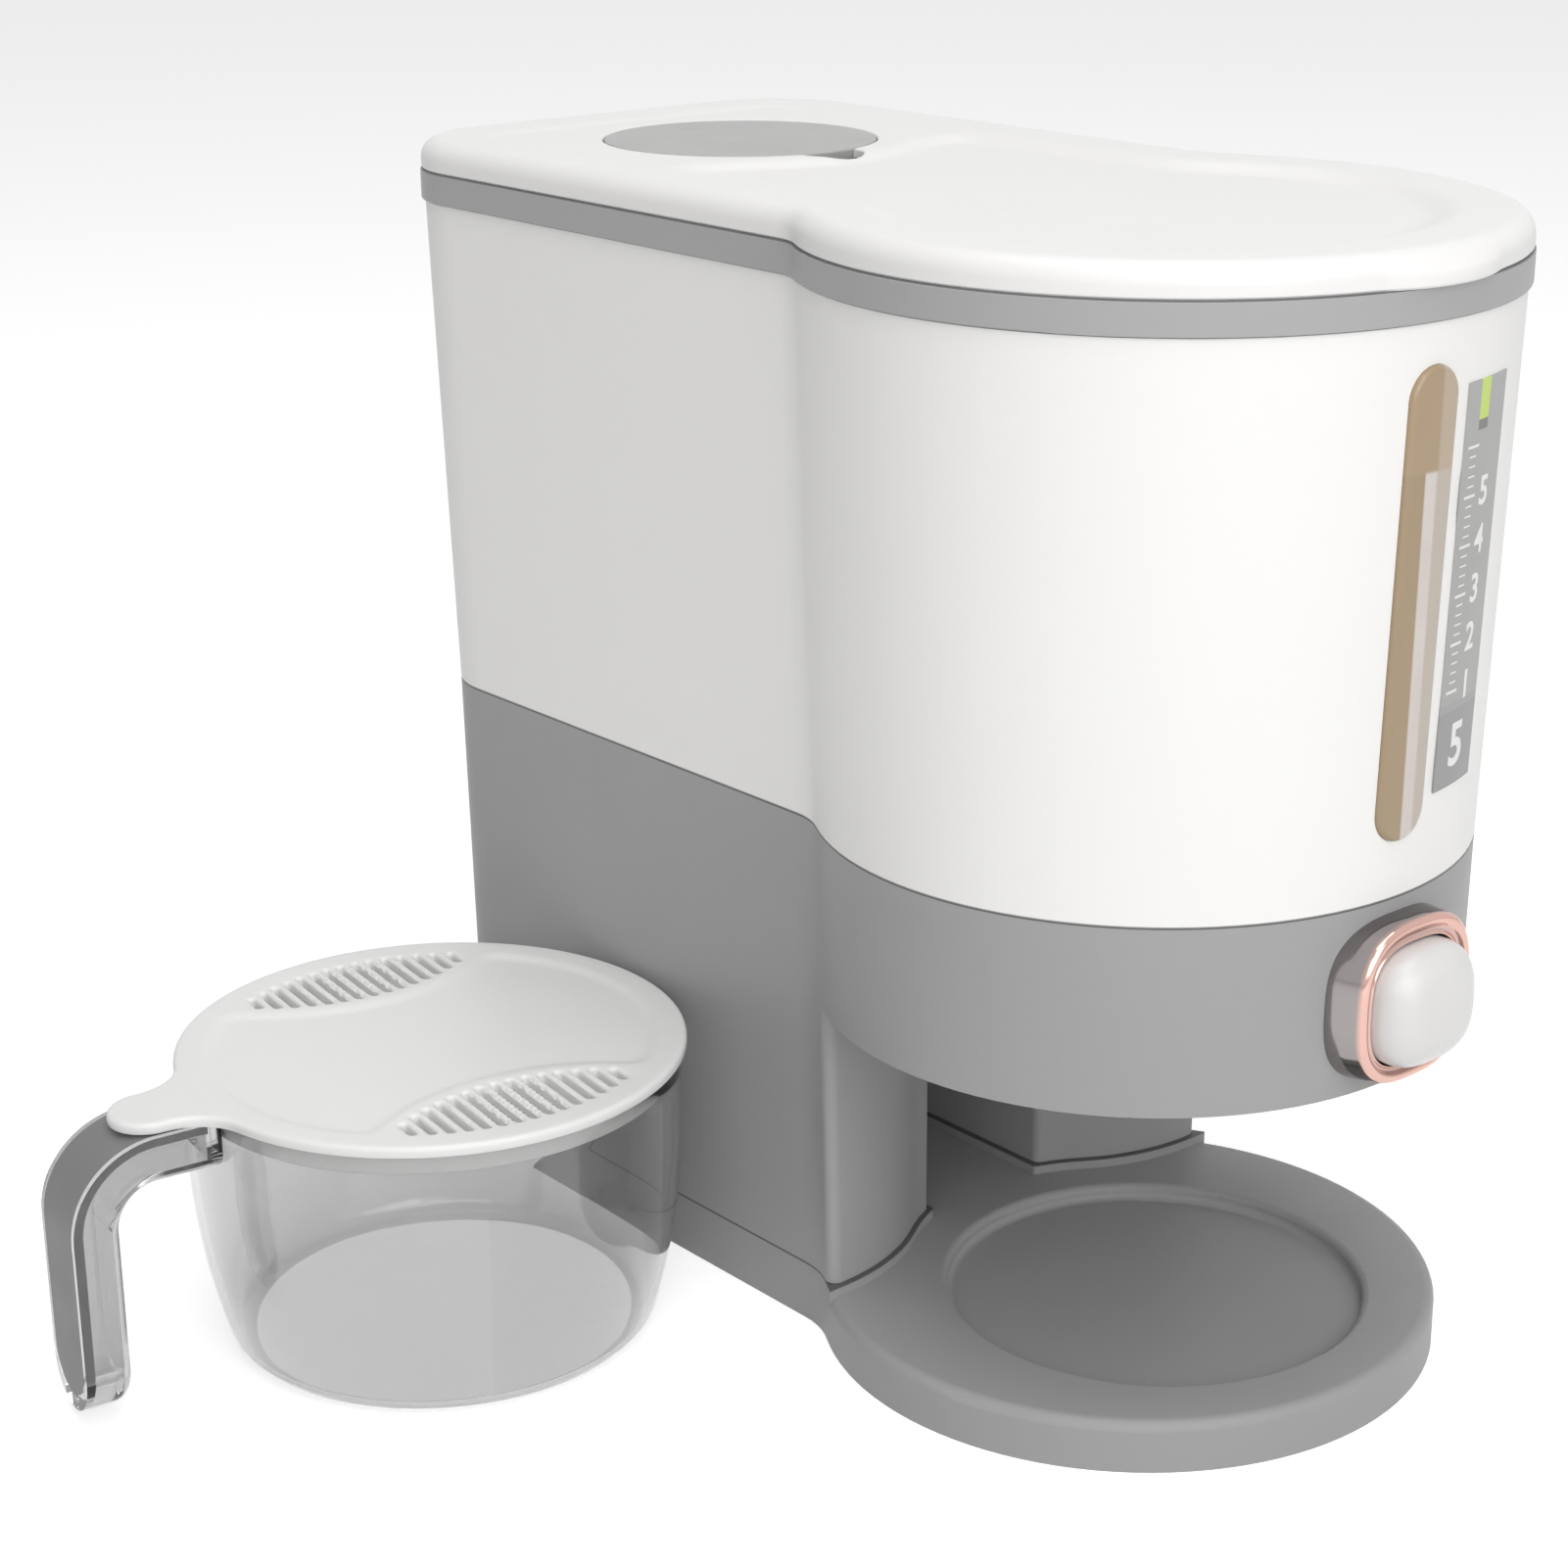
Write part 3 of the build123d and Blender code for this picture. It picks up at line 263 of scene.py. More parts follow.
def moulded(name, colour, rough, grain=900.0, depth=0.00002, uneven=0.02, spec=0.5, coat=0.0,
            shaded_seams=(), notch=None):
    """Moulded plastic: colour faintly uneven, gloss varied, and a fine grain as bump.

    Each pair of heights in the joint list bounds a band where the shade of a joint's gap is painted dark,
    and notch is a box, across, from, to and top, inside which the shade of a hollow is painted dark."""
    mat, tree, bsdf, coord = surface(name)
    clouds = noise(tree, coord, 14.0)
    shade = blend_colours(tree, clouds, scaled(colour, 1 - uneven), scaled(colour, 1 + uneven))
    # Painted shade: each pair of heights darkens a fine line, the shade in a joint's narrow gap.
    for low, high in shaded_seams:
        seam_shadow = band_of(tree, axis_of(tree, coord, "Z"), low, high)
        shade = blend_colours(tree, seam_shadow, shade, scaled(colour, SEAM_PAINTED_SHADE))
    # Painted shade: inside a box under the lid's finger notch the colour is darkened, as that hollow lies in
    # shade.
    if notch:
        half, front, back, top = notch
        across = band_of(tree, axis_of(tree, coord, "X"), -half, half)
        along = band_of(tree, axis_of(tree, coord, "Y"), front, back)
        under = maths(tree, "LESS_THAN", axis_of(tree, coord, "Z"), top)
        hollow = maths(tree, "MULTIPLY", maths(tree, "MULTIPLY", across, along), under)
        shade = blend_colours(tree, hollow, shade, scaled(colour, NOTCH_PAINTED_SHADE))
    link(tree, shade, bsdf.inputs["Base Color"])
    link(tree, spread(tree, noise(tree, coord, 60.0), rough - 0.04, rough + 0.04), bsdf.inputs["Roughness"])
    bump = tree.nodes.new("ShaderNodeBump")
    bump.inputs["Strength"].default_value = 1.0
    bump.inputs["Distance"].default_value = depth
    link(tree, noise(tree, coord, grain, 2.0), bump.inputs["Height"])
    link(tree, bump.outputs["Normal"], bsdf.inputs["Normal"])
    bsdf.inputs["Specular IOR Level"].default_value = spec
    bsdf.inputs["Coat Weight"].default_value = coat
    bsdf.inputs["Coat Roughness"].default_value = 0.15
    return mat


# The height pairs given below paint the shade in the gaps between mouldings as fine dark lines.
shell_white = moulded("shell_white", srgb(246, 245, 243), 0.42, 1100.0, 0.000012, 0.008,
                      shaded_seams=[(0.1355, 0.13585)])
# Its notch box paints the shade inside the hollow of the lid's finger notch.
lid_white = moulded("lid_white", srgb(240, 239, 238), 0.38, 1100.0, 0.000010, 0.008,
                    notch=(0.0092, 0.1020, 0.1125, 0.2766))
column_grey = moulded("column_grey", srgb(166, 166, 166), 0.46, 1300.0, 0.00003, 0.025, 0.25,
                      shaded_seams=[(0.0152, 0.0158), (0.1352, 0.1358)])
band_grey = moulded("band_grey", srgb(173, 173, 173), 0.40, 1300.0, 0.00002, 0.02, 0.3,
                    shaded_seams=[(0.2643, 0.26455), (0.2717, 0.2721)])
disc_grey = moulded("disc_grey", srgb(172, 172, 171), 0.45, 1300.0, 0.00002, 0.02)
button_white = moulded("button_white", srgb(224, 223, 222), 0.30, 700.0, 0.000006, 0.006, 0.5, 0.2)
cup_lid_white = moulded("cup_lid_white", srgb(233, 233, 232), 0.42, 1100.0, 0.000012, 0.008)
grip_grey = moulded("grip_grey", srgb(122, 122, 122), 0.5, 1500.0, 0.00003, 0.03)
inner_pale = moulded("inner_pale", srgb(214, 212, 206), 0.5, 900.0, 0.00002, 0.02)
basket_grey = moulded("basket_grey", srgb(150, 150, 149), 0.5, 900.0, 0.00002, 0.02)
cover_dark = moulded("cover_dark", srgb(92, 92, 94), 0.6, 1300.0, 0.00004, 0.03)
seal_soft = moulded("seal_soft", srgb(206, 206, 202), 0.7, 700.0, 0.00003, 0.03)
pad_black = moulded("pad_black", srgb(45, 45, 46), 0.8, 700.0, 0.00006, 0.05)
print("plastics ready")

# %% [markdown]
# ## Plating, steel and clear plastic
# The ring round the button is bright plating with a rose tint on its face; its side is painted darker, a
# painted reflection of the grey parts round it.
# Screws and spring are plain steel. The cup is clear polystyrene with a grey cast, so it lets
# light through and bends it.

# %% Plating, steel, clear plastic
def metal(name, colour, rough, flank_reflection=None):
    """Bright metal; the optional last argument is two depths along Y and a darker colour, a painted
    reflection, to which the colour turns between those depths.
    """
    mat, tree, bsdf, coord = surface(name)
    bsdf.inputs["Base Color"].default_value = colour
    if flank_reflection:
        # Painted reflection: towards the back the colour turns darker, as the grey parts round the ring show
        # in it.
        near, far, dark = flank_reflection
        fade = spread(tree, axis_of(tree, coord, "Y"), 0.0, 1.0, near, far)
        link(tree, blend_colours(tree, fade, colour, dark), bsdf.inputs["Base Color"])
    bsdf.inputs["Metallic"].default_value = 1.0
    link(tree, spread(tree, noise(tree, coord, 400.0), rough * 0.8, rough * 1.3), bsdf.inputs["Roughness"])
    return mat


PLASTIC_IOR = 1.49


def clear(name, colour, rough):
    """Clear plastic that bends the light, with a faintly uneven polish."""
    mat, tree, bsdf, coord = surface(name)
    bsdf.inputs["Base Color"].default_value = colour
    bsdf.inputs["Transmission Weight"].default_value = 1.0
    bsdf.inputs["IOR"].default_value = PLASTIC_IOR
    link(tree, spread(tree, noise(tree, coord, 120.0), rough * 0.6, rough * 1.4), bsdf.inputs["Roughness"])
    return mat


# The darker colour at the back of the ring is a painted reflection of the grey housing.
rose_plating = metal("rose_plating", srgb(214, 175, 164), 0.09,
                     flank_reflection=(-0.0850, -0.0836, srgb(152, 146, 146)))
bright_steel = metal("bright_steel", srgb(190, 190, 190), 0.22)
cup_clear = clear("cup_clear", (0.88, 0.88, 0.88, 1), 0.02)
handle_clear = clear("handle_clear", (0.74, 0.74, 0.74, 1), 0.03)
print("metals and clears ready")

# %% [markdown]
# ## Window tint
# The window is tan, and lighter towards its right side. Below a line near its top lies a painted
# reflection of the studio light: the tints there are paler, with a near-white band. The tints are
# mixed softly by place on the piece. The skin is glossy, and only a little light passes through.

# %% Window tint
WINDOW_MIDDLE, TINT_LEAN = 0.225, 0.020
# Heights over which the painted reflection fades out at its top.
REFLECTION_TOP_LOW, REFLECTION_TOP_HIGH = 0.2320, 0.2328


def tinted_window():
    """Tan plastic whose tint changes by place: a lighter right side, and a painted reflection below a line.
    """
    mat, tree, bsdf, coord = surface("window_tan")
    across, height = axis_of(tree, coord, "X"), axis_of(tree, coord, "Z")
    rise = maths(tree, "SUBTRACT", height, WINDOW_MIDDLE)
    lean = maths(tree, "ADD", across, maths(tree, "MULTIPLY", rise, TINT_LEAN))
    clouds = spread(tree, noise(tree, coord, 70.0), 0.85, 1.0)
    right = spread(tree, lean, 0.0, 1.0, -0.0012, -0.0002)
    # A near-white band of painted reflection, left of the lighter right side; it lies only below its top
    # line.
    band = maths(tree, "MULTIPLY", spread(tree, lean, 0.0, 1.0, -0.0048, -0.0043),
                 maths(tree, "SUBTRACT", 1.0, right))
    below = spread(tree, height, 1.0, 0.0, REFLECTION_TOP_LOW, REFLECTION_TOP_HIGH)
    upper = blend_colours(tree, right, srgb(175, 151, 118), srgb(192, 172, 150))
    lower = blend_colours(tree, right, srgb(169, 146, 114), srgb(196, 184, 172))
    shade = blend_colours(tree, below, upper, lower)
    # The painted reflection mixed in: the band, below its top line, with faint clouds.
    painted_reflection = maths(tree, "MULTIPLY", maths(tree, "MULTIPLY", band, below), clouds)
    link(tree, blend_colours(tree, painted_reflection, shade, srgb(222, 213, 208)), bsdf.inputs["Base Color"])
    bsdf.inputs["Transmission Weight"].default_value = 0.10
    bsdf.inputs["IOR"].default_value = PLASTIC_IOR
    bsdf.inputs["Coat Weight"].default_value = 0.3
    bsdf.inputs["Coat Roughness"].default_value = 0.05
    link(tree, spread(tree, noise(tree, coord, 140.0), 0.16, 0.24), bsdf.inputs["Roughness"])
    return mat


window_tan = tinted_window()
print("window tint ready")

# %% [markdown]
# ## A helper for moulded shells
# Lid, cup, ring and button are smooth shells. Each is built from rings of points that follow one
# outline, joined by walls, much as a tool maker draws sections. Flat regions with holes are
# filled by a constrained triangulation, so that a height rule can raise and lower them softly.
# Lengths in the helper are millimetres, because that is how such pieces are dimensioned.

# %% Moulding helper
class Moulding:
    """Collects points in millimetres and faces, and turns them into one closed mesh."""

    def __init__(self):
        self.points = []
        self.faces = []

    def ring(self, plan, heights):
        """Adds a closed ring over a plan, at one height or at one height for each point."""
        first = len(self.points)
        heights = np.broadcast_to(heights, len(plan))
        self.points.extend((float(x), float(y), float(z)) for (x, y), z in zip(plan, heights))
        return list(range(first, len(self.points)))

    def circle(self, r, z, count):
        """Adds a circle round the Z axis."""
        return self.ring([(r * cos(a), r * sin(a)) for a in np.linspace(0, 2 * pi, count + 1)[:-1]], z)

    def loop(self, points):
        """Adds a closed ring of points that are given in full."""
        first = len(self.points)
        self.points.extend(tuple(float(v) for v in p) for p in points)
        return list(range(first, len(self.points)))

    def walls(self, rings):
        """Joins each ring to the next with four-sided faces."""
        for a, b in zip(rings[:-1], rings[1:]):
            n = len(a)
            for i in range(n):
                self.faces.append((a[i], a[(i + 1) % n], b[(i + 1) % n], b[i]))

    def cap(self, ring, centre):
        """Closes a ring to one point."""
        k = len(self.points)
        self.points.append(tuple(float(v) for v in centre))
        for i in range(len(ring)):
            self.faces.append((ring[i], ring[(i + 1) % len(ring)], k))

    def cover(self, outer, holes, extra):
        """Fills the region inside a ring and outside its holes; extra points lie in it."""
        plan, numbers, edges = [], [], []
        for ring in [outer] + holes:
            start, n = len(plan), len(ring)
            plan.extend(Vector(self.points[i][:2]) for i in ring)
            numbers.extend(ring)
            edges.extend((start + i, start + (i + 1) % n) for i in range(n))
        plan.extend(Vector(p[:2]) for p in extra)
        numbers.extend(self.loop(extra))
        verts, _, tris, origin, _, _ = delaunay_2d_cdt(plan, edges, [], 0, 1e-6, True)
        table = [numbers[o[0]] if o else None for o in origin]
        middle = np.array([(verts[a] + verts[b] + verts[c]) / 3.0 for a, b, c in tris])
        keep = within(middle, [self.points[i][:2] for i in outer])
        for ring in holes:
            keep &= ~within(middle, [self.points[i][:2] for i in ring])
        self.faces.extend((table[a], table[b], table[c]) for (a, b, c), k in zip(tris, keep) if k)

    def build(self, name, material, angle=35.0):
        """Makes the object in metres: doubles merged, faces outwards, soft shading, sharp creases."""
        me = bpy.data.meshes.new(name)
        me.from_pydata([(x / 1000, y / 1000, z / 1000) for x, y, z in self.points], [], self.faces)
        bm = bmesh.new()
        bm.from_mesh(me)
        bmesh.ops.remove_doubles(bm, verts=bm.verts, dist=1e-7)
        bmesh.ops.delete(bm, geom=[v for v in bm.verts if not v.link_faces], context="VERTS")
        bmesh.ops.recalc_face_normals(bm, faces=bm.faces)
        open_edges = sum(1 for e in bm.edges if len(e.link_faces) != 2)
        volume = bm.calc_volume(signed=True) * 1e9
        bm.to_mesh(me)
        bm.free()
        me.polygons.foreach_set("use_smooth", [True] * len(me.polygons))
        me.set_sharp_from_angle(angle=radians(angle))
        me.materials.append(material)
        ob = bpy.data.objects.new(name, me)
        scene.collection.objects.link(ob)
        print(name, "faces", len(me.polygons), "open edges", open_edges, "volume", round(volume), "mm3")
        return ob


def within(points, polygon):
    """For each point, whether it lies inside a polygon."""
    points = np.asarray(points)[:, :2]
    inside = np.zeros(len(points), bool)
    polygon = np.asarray(polygon)
    for (x0, y0), (x1, y1) in zip(polygon, np.roll(polygon, -1, axis=0)):
        if y0 == y1:
            continue
        crosses = (points[:, 1] < y0) != (points[:, 1] < y1)
        inside ^= crosses & (points[:, 0] < x0 + (points[:, 1] - y0) * (x1 - x0) / (y1 - y0))
    return inside


def depth_inside(points, polygon):
    """For each point, its distance from the nearest side of a polygon."""
    polygon = np.asarray(polygon)
    return distance_to_lines(np.asarray(points)[:, :2], zip(polygon, np.roll(polygon, -1, axis=0)))


def arc(cx, cy, r, start, end, count):
    """Points on an arc, without its last point, so that arcs can follow each other."""
    angles = np.linspace(start, end, count + 1)[:-1]
    return [(cx + r * cos(a), cy + r * sin(a)) for a in angles]


def run(a, b, count):
    """Points on a straight run, without its last point."""
    return [(a[0] + (b[0] - a[0]) * i / count, a[1] + (b[1] - a[1]) * i / count) for i in range(count)]


def distance_to_lines(points, lines):
    """For each point, its distance from the nearest of some straight lines between two ends."""
    best = np.full(len(points), 1e9)
    for a, b in lines:
        a, b = np.array(a), np.array(b)
        along = np.clip(((points - a) @ (b - a)) / ((b - a) @ (b - a)), 0, 1)
        best = np.minimum(best, np.hypot(*(points - a - along[:, None] * (b - a)).T))
    return best


def soft_step(t):
    """0 to 1 with level ends, as t goes from 0 to 1."""
    t = np.clip(t, 0.0, 1.0)
    return t * t * (3 - 2 * t)


def quarter(steps):
    """Angles over a quarter turn, without the first."""
    return np.linspace(0, pi / 2, steps + 1)[1:]


def soft_min(a, b, k):
    """The lesser of two values, with the crease between them rounded over a width k."""
    h = np.clip(0.5 + 0.5 * (b - a) / k, 0, 1)
    return b * (1 - h) + a * h - k * h * (1 - h)


def honeycomb(polygon, pitch, gap):
    """Evenly staggered points inside a polygon, at least a gap from its sides."""
    low, high = np.min(polygon, axis=0), np.max(polygon, axis=0)
    rows = []
    for j, y in enumerate(np.arange(low[1], high[1], pitch * 0.866)):
        xs = np.arange(low[0] + (j % 2) * pitch / 2, high[0], pitch)
        rows.append(np.column_stack([xs, np.full(len(xs), y)]))
    points = np.vstack(rows)
    points = points[within(points, polygon)]
    return points[depth_inside(points, polygon) > gap]


print("helper ready")

# %% [markdown]
# ## The plan of the shell
# Seen from above, tank, band and lid share one outline: a round nose, a hollow waist, straight
# sides and a rear with round corners. It is worked out once from those radii, and every ring of
# the lid is the same outline, grown or shrunk by some millimetres.

# %% Outline of the shell
NOSE_R = 78.6
SIDE_W = 64.6
REAR_Y = 206.0
CORNER_R = 24.0
WAIST_R = 20.0
waist_x = SIDE_W + WAIST_R
waist_y = sqrt((NOSE_R + WAIST_R) ** 2 - waist_x ** 2)
turn = atan2(waist_y, waist_x)


def shell_outline(grow):
    """The shell's outline grown outwards, counter-clockwise, with the same count each time."""
    side, corner, hollow = SIDE_W + grow, CORNER_R + grow, WAIST_R - grow
    cx, cy = SIDE_W - CORNER_R, REAR_Y - CORNER_R
    points = arc(0, 0, NOSE_R + grow, pi - turn, 2 * pi + turn, 180)
    points += arc(waist_x, waist_y, hollow, pi + turn, pi, 16)
    points += run((side, waist_y), (side, cy), 24)
    points += arc(cx, cy, corner, 0, pi / 2, 20)
    points += run((cx, REAR_Y + grow), (-cx, REAR_Y + grow), 24)
    points += arc(-cx, cy, corner, pi / 2, pi, 20)
    points += run((-side, cy), (-side, waist_y), 24)
    points += arc(-waist_x, waist_y, hollow, 0, -turn, 16)
    return points


print("outline points:", len(shell_outline(0)), "waist at y", round(waist_y, 2), "mm")

# %% [markdown]
# ## Lid
# The lid is one moulding: a rounded rim with a shallow finger lip in front, a platform round the
# grey cap, and a dish that slopes down softly in front of it. The CAD lid has the same sizes with
# crisp slopes. Here the top is a fine net of points whose height follows smooth steps, because
# the real slopes have no edges at all, and light slides over them.

# %% Lid sizes
BAND_TOP = 272.0
LID_TOP = 279.6
WELL_Y = 147.0
WELL_R, SEAT_R, COLLAR_R = 35.3, 30.3, 37.8
NOTCH_R = 8.5
SEAT_Z = 274.9
RIM_GROW, RIM_ROUND = 4.4, 5.0
PLUG_GROW = 0.9
LIP_R, LIP_Y = 40.0, -45.6


def with_lip(plan, share):
    """Pushes the front of a ring out to the lens shape of the finger lip."""
    plan = np.array(plan)
    radius = np.hypot(*plan.T)
    unit = plan / radius[:, None]
    along = unit[:, 1] * LIP_Y
    reach = along + np.sqrt(np.maximum(LIP_R ** 2 - LIP_Y ** 2 + along ** 2, 0))
    front = plan[:, 1] < -NOSE_R * 0.8
    beyond = np.where(front, reach - (NOSE_R + RIM_GROW), -9.0)
    push = 0.5 * (beyond + np.sqrt(beyond ** 2 + 0.35 ** 2)) * share
    return plan + unit * (push * (beyond > -4))[:, None]


def lid_height(points):
    """Height of the lid's upper face over its plan."""
    points = np.asarray(points)[:, :2]
    rim = depth_inside(points, shell_outline(0)) - 13.0
    well = np.hypot(points[:, 0], points[:, 1] - WELL_Y) - 44.0
    dish = soft_min(soft_min(rim - 4.0, well, 10.0), 115.9 - points[:, 1], 10.0)
    crown = 0.25 * np.clip(1 - np.hypot(points[:, 0], points[:, 1] - 20) / 90.0, 0, 1)
    fall = 0.8 * soft_step((rim + 1.2) / 4.6) + 1.8 * soft_step((dish + 3.2) / 6.4)
    return LID_TOP - fall + crown * (dish > 0)


def well_plan(r, notch_r):
    """Round hole with a finger notch on its front side, seen from above."""
    notch_y = 35.0
    corner = radians(14.0)
    front = np.linspace(-pi / 2 - 2 * corner, -pi / 2 + 2 * corner, 61)[:-1]
    angles = np.concatenate([front, np.linspace(-pi / 2 + 2 * corner, 1.5 * pi - 2 * corner, 181)[:-1]])
    off = np.cos(angles + pi / 2)
    room = notch_r ** 2 - notch_y ** 2 * (1 - off ** 2)
    far = notch_y * off + np.sqrt(np.maximum(room, 0))
    inside = room > 0
    reach = np.where(inside & (off > 0), np.maximum(far, r), r)
    return np.column_stack([reach * np.cos(angles), WELL_Y + reach * np.sin(angles)])


print("lid height at the dish", np.round(lid_height([(0, 20.0)]), 2), "at the platform",
      np.round(lid_height([(45.0, 110.0)]), 2))

# %% Lid shell
def make_lid():
    lid = Moulding()
    bend_z = LID_TOP - RIM_ROUND
    rim = [(RIM_GROW - 0.5, BAND_TOP), (RIM_GROW, BAND_TOP + 0.5), (RIM_GROW, bend_z)]
    rim += [(RIM_GROW - RIM_ROUND * (1 - cos(a)), bend_z + RIM_ROUND * sin(a)) for a in quarter(12)]
    outer = [lid.ring(shell_outline(PLUG_GROW), BAND_TOP)]
    for grow, z in rim:
        share = float(1 - soft_step((z - 274.0) / 4.6))
        outer.append(lid.ring(with_lip(shell_outline(grow), share), z))
    lid.walls(outer)
    inner = []
    for extra, fall in ((0.55, 0.0), (0.25, 0.10), (0.07, 0.30), (0.0, 0.55)):
        plan = well_plan(WELL_R + extra, NOTCH_R + extra)
        inner.append(lid.ring(plan, lid_height(plan) - fall))
    inner.append(lid.ring(well_plan(WELL_R, NOTCH_R), SEAT_Z))
    lid.walls(inner)
    net = honeycomb(shell_outline(-0.6), 1.7, 0.9)
    hole = well_plan(WELL_R + 0.55, NOTCH_R + 0.55)
    net = net[~within(net, hole)]
    net = net[depth_inside(net, hole) > 0.8]
    lid.cover(outer[-1], [inner[0]], np.column_stack([net, lid_height(net)]))
    foot = [lid.ring(well_plan(r, notch), z) for r, notch, z in (
        (SEAT_R, 0.0, SEAT_Z), (SEAT_R, 0.0, BAND_TOP), (COLLAR_R, 11.0, BAND_TOP), (COLLAR_R, 11.0, 274.8))]
    lid.walls([inner[-1]] + foot)
    under = [lid.ring(shell_outline(-1.1), 274.8)]
    lid.cover(under[0], [foot[-1]], [])
    for grow, z in ((-1.1, 263.3), (-0.8, 263.0), (0.6, 263.0), (PLUG_GROW, 263.3), (PLUG_GROW, 265.5),
                    (-0.1, 265.5), (-0.1, 268.5), (PLUG_GROW, 268.5)):
        under.append(lid.ring(shell_outline(grow), z))
    lid.walls(under + [outer[0]])
    return lid.build("lid_shell", lid_white)


lid_shell = make_lid()

# %% [markdown]
# ## The cup's lid
# A thin white plate with a thumb tongue over the handle. Its middle is sunk by a millimetre with
# a soft slope, and two raised pads carry the drain slots, whose ribs are rounded like fingers.
# The plate is drawn lying on the origin with its tongue along +X, then turned into its place.

# %% Cup lid sizes
CUP_X, CUP_Y, CUP_TURN = -128.196, 114.5, radians(172.0)
PLATE_LOW, PLATE_TOP, PLATE_EDGE = 72.5, 75.3, 1.2
PLATE_R = 62.4
TONGUE_HALF, TONGUE_END = 9.5, 73.3
FILLET = 14.0
SLOT_HALF, SLOT_PITCH, SLOT_FAR = 1.0, 3.95, 54.6
PAD_R = 50.0
SKIRT_IN, SKIRT_OUT, SKIRT_LOW = 55.1, 58.5, 66.9
fillet_x = sqrt((PLATE_R + FILLET) ** 2 - (TONGUE_HALF + FILLET) ** 2)
fillet_turn = atan2(TONGUE_HALF + FILLET, fillet_x)


def at_cup(shape):
    """Turns the points of a moulding that is drawn round the Z axis into the cup's place."""
    c, s = cos(CUP_TURN), sin(CUP_TURN)
    shape.points = [(CUP_X + c * x - s * y, CUP_Y + s * x + c * y, z) for x, y, z in shape.points]
    return shape


def plate_plan(grow):
    """Round plate with its tongue, grown outwards."""
    w = TONGUE_HALF + FILLET
    points = arc(0, 0, PLATE_R + grow, fillet_turn, 2 * pi - fillet_turn, 200)
    points += arc(fillet_x, -w, FILLET - grow, pi - fillet_turn, pi / 2, 20)
    points += arc(TONGUE_END, 0, TONGUE_HALF + grow, -pi / 2, pi / 2, 32)
    points += arc(fillet_x, w, FILLET - grow, -pi / 2, -pi + fillet_turn, 20)
    return points


def slot_ends(u):
    """Where the middles of a slot's two round ends lie, for a slot at u across."""
    return 83.0 - sqrt(PAD_R ** 2 - u ** 2), sqrt(SLOT_FAR ** 2 - u ** 2) - SLOT_HALF


def slot_plan(u, side, grow):
    """One drain slot, a long round-ended hole, grown outwards."""
    near, far = slot_ends(u)
    half = SLOT_HALF + grow
    points = arc(u, near, half, pi, 2 * pi, 8) + run((u + half, near), (u + half, far), 10)
    points += arc(u, far, half, 0, pi, 8) + run((u - half, far), (u - half, near), 10)
    return [(x, side * y) for x, y in points]


slots = [((i - 7) * SLOT_PITCH, side) for i in range(15) for side in (1, -1)]
slot_lines = [tuple((u, side * end) for end in slot_ends(u)) for u, side in slots]


def plate_height(points):
    """Height of the plate: sunk middle, raised pads, and rounded ribs between the slots."""
    points = np.asarray(points)[:, :2]
    radius = np.hypot(*points.T)
    pad = np.hypot(points[:, 0], np.abs(points[:, 1]) - 80.6) - 52.0
    sunk = soft_min(55.4 - radius, pad, 4.0)
    away = distance_to_lines(points, slot_lines) - SLOT_HALF
    rib = 0.95
    fall = rib - np.sqrt(np.maximum(rib ** 2 - np.clip(rib - away, 0, rib) ** 2, 0))
    edge = 0.12 * soft_step((59.5 - radius) / 2.5) * (radius < 60.0)
    return PLATE_TOP - 0.9 * soft_step((sunk + 0.4) / 3.0) - fall - edge


print("slots:", len(slots))

# %% Cup lid
def make_cup_lid():
    lid = Moulding()
    edge = [lid.ring(plate_plan(-0.6), PLATE_LOW), lid.ring(plate_plan(-0.15), PLATE_LOW + 0.2),
            lid.ring(plate_plan(0.0), PLATE_LOW + 0.6), lid.ring(plate_plan(0.0), PLATE_TOP - PLATE_EDGE)]
    for a in quarter(6):
        edge.append(lid.ring(plate_plan(PLATE_EDGE * (cos(a) - 1)), PLATE_TOP + PLATE_EDGE * (sin(a) - 1)))
    lid.walls(edge)
    holes, floors, extra = [], [], []
    for (u, side), ((x, y0), (_, y1)) in zip(slots, slot_lines):
        plan = slot_plan(u, side, 0.0)
        holes.append(lid.ring(plan, plate_height(plan)))
        floors.append(lid.ring(plan, PLATE_LOW))
        lid.walls([holes[-1], floors[-1]])
        for grow in (0.12, 0.35, 0.65):
            extra.extend(slot_plan(u, side, grow))
        if u < 27.0:
            extra.extend((x + SLOT_PITCH / 2, y0 + (y1 - y0) * t) for t in np.linspace(0.0, 1.0, 16))
    net = honeycomb(plate_plan(-PLATE_EDGE), 1.5, 0.8)
    net = np.vstack([net[distance_to_lines(net, slot_lines) - SLOT_HALF > 1.1], np.array(extra)])
    lid.cover(edge[-1], holes, np.column_stack([net, plate_height(net)]))
    skirt = [lid.circle(r, z, 180) for r, z in (
        (56.5, PLATE_LOW), (56.5, 71.4), (58.1, 71.3), (SKIRT_OUT, 70.9), (SKIRT_OUT, SKIRT_LOW + 0.4),
        (58.1, SKIRT_LOW), (55.4, SKIRT_LOW), (SKIRT_IN, SKIRT_LOW + 0.3), (SKIRT_IN, PLATE_LOW))]
    lid.cover(edge[0], [skirt[0]], [])
    lid.walls(skirt)
    lid.cover(skirt[-1], floors, [])
    return at_cup(lid).build("cup_lid_plate", cup_lid_white)


cup_lid_plate = make_cup_lid()

# %% [markdown]
# ## Cup
# The cup is blown clear and round, with a flat foot, a tight corner, and a wall that swells gently
# to upright. It is one closed profile spun about its axis: outside wall, rim, inside wall, floor.
# Refraction needs such a true inner and outer skin, with a known wall between them.

# %% Cup
CUP_R, CUP_H, CUP_WALL = 60.8, 72.4, 2.0
CUP_DRAW, CUP_BULGE_Z, CUP_CORNER = 7.0, 54.0, 4.8
CUP_RIM = 0.6


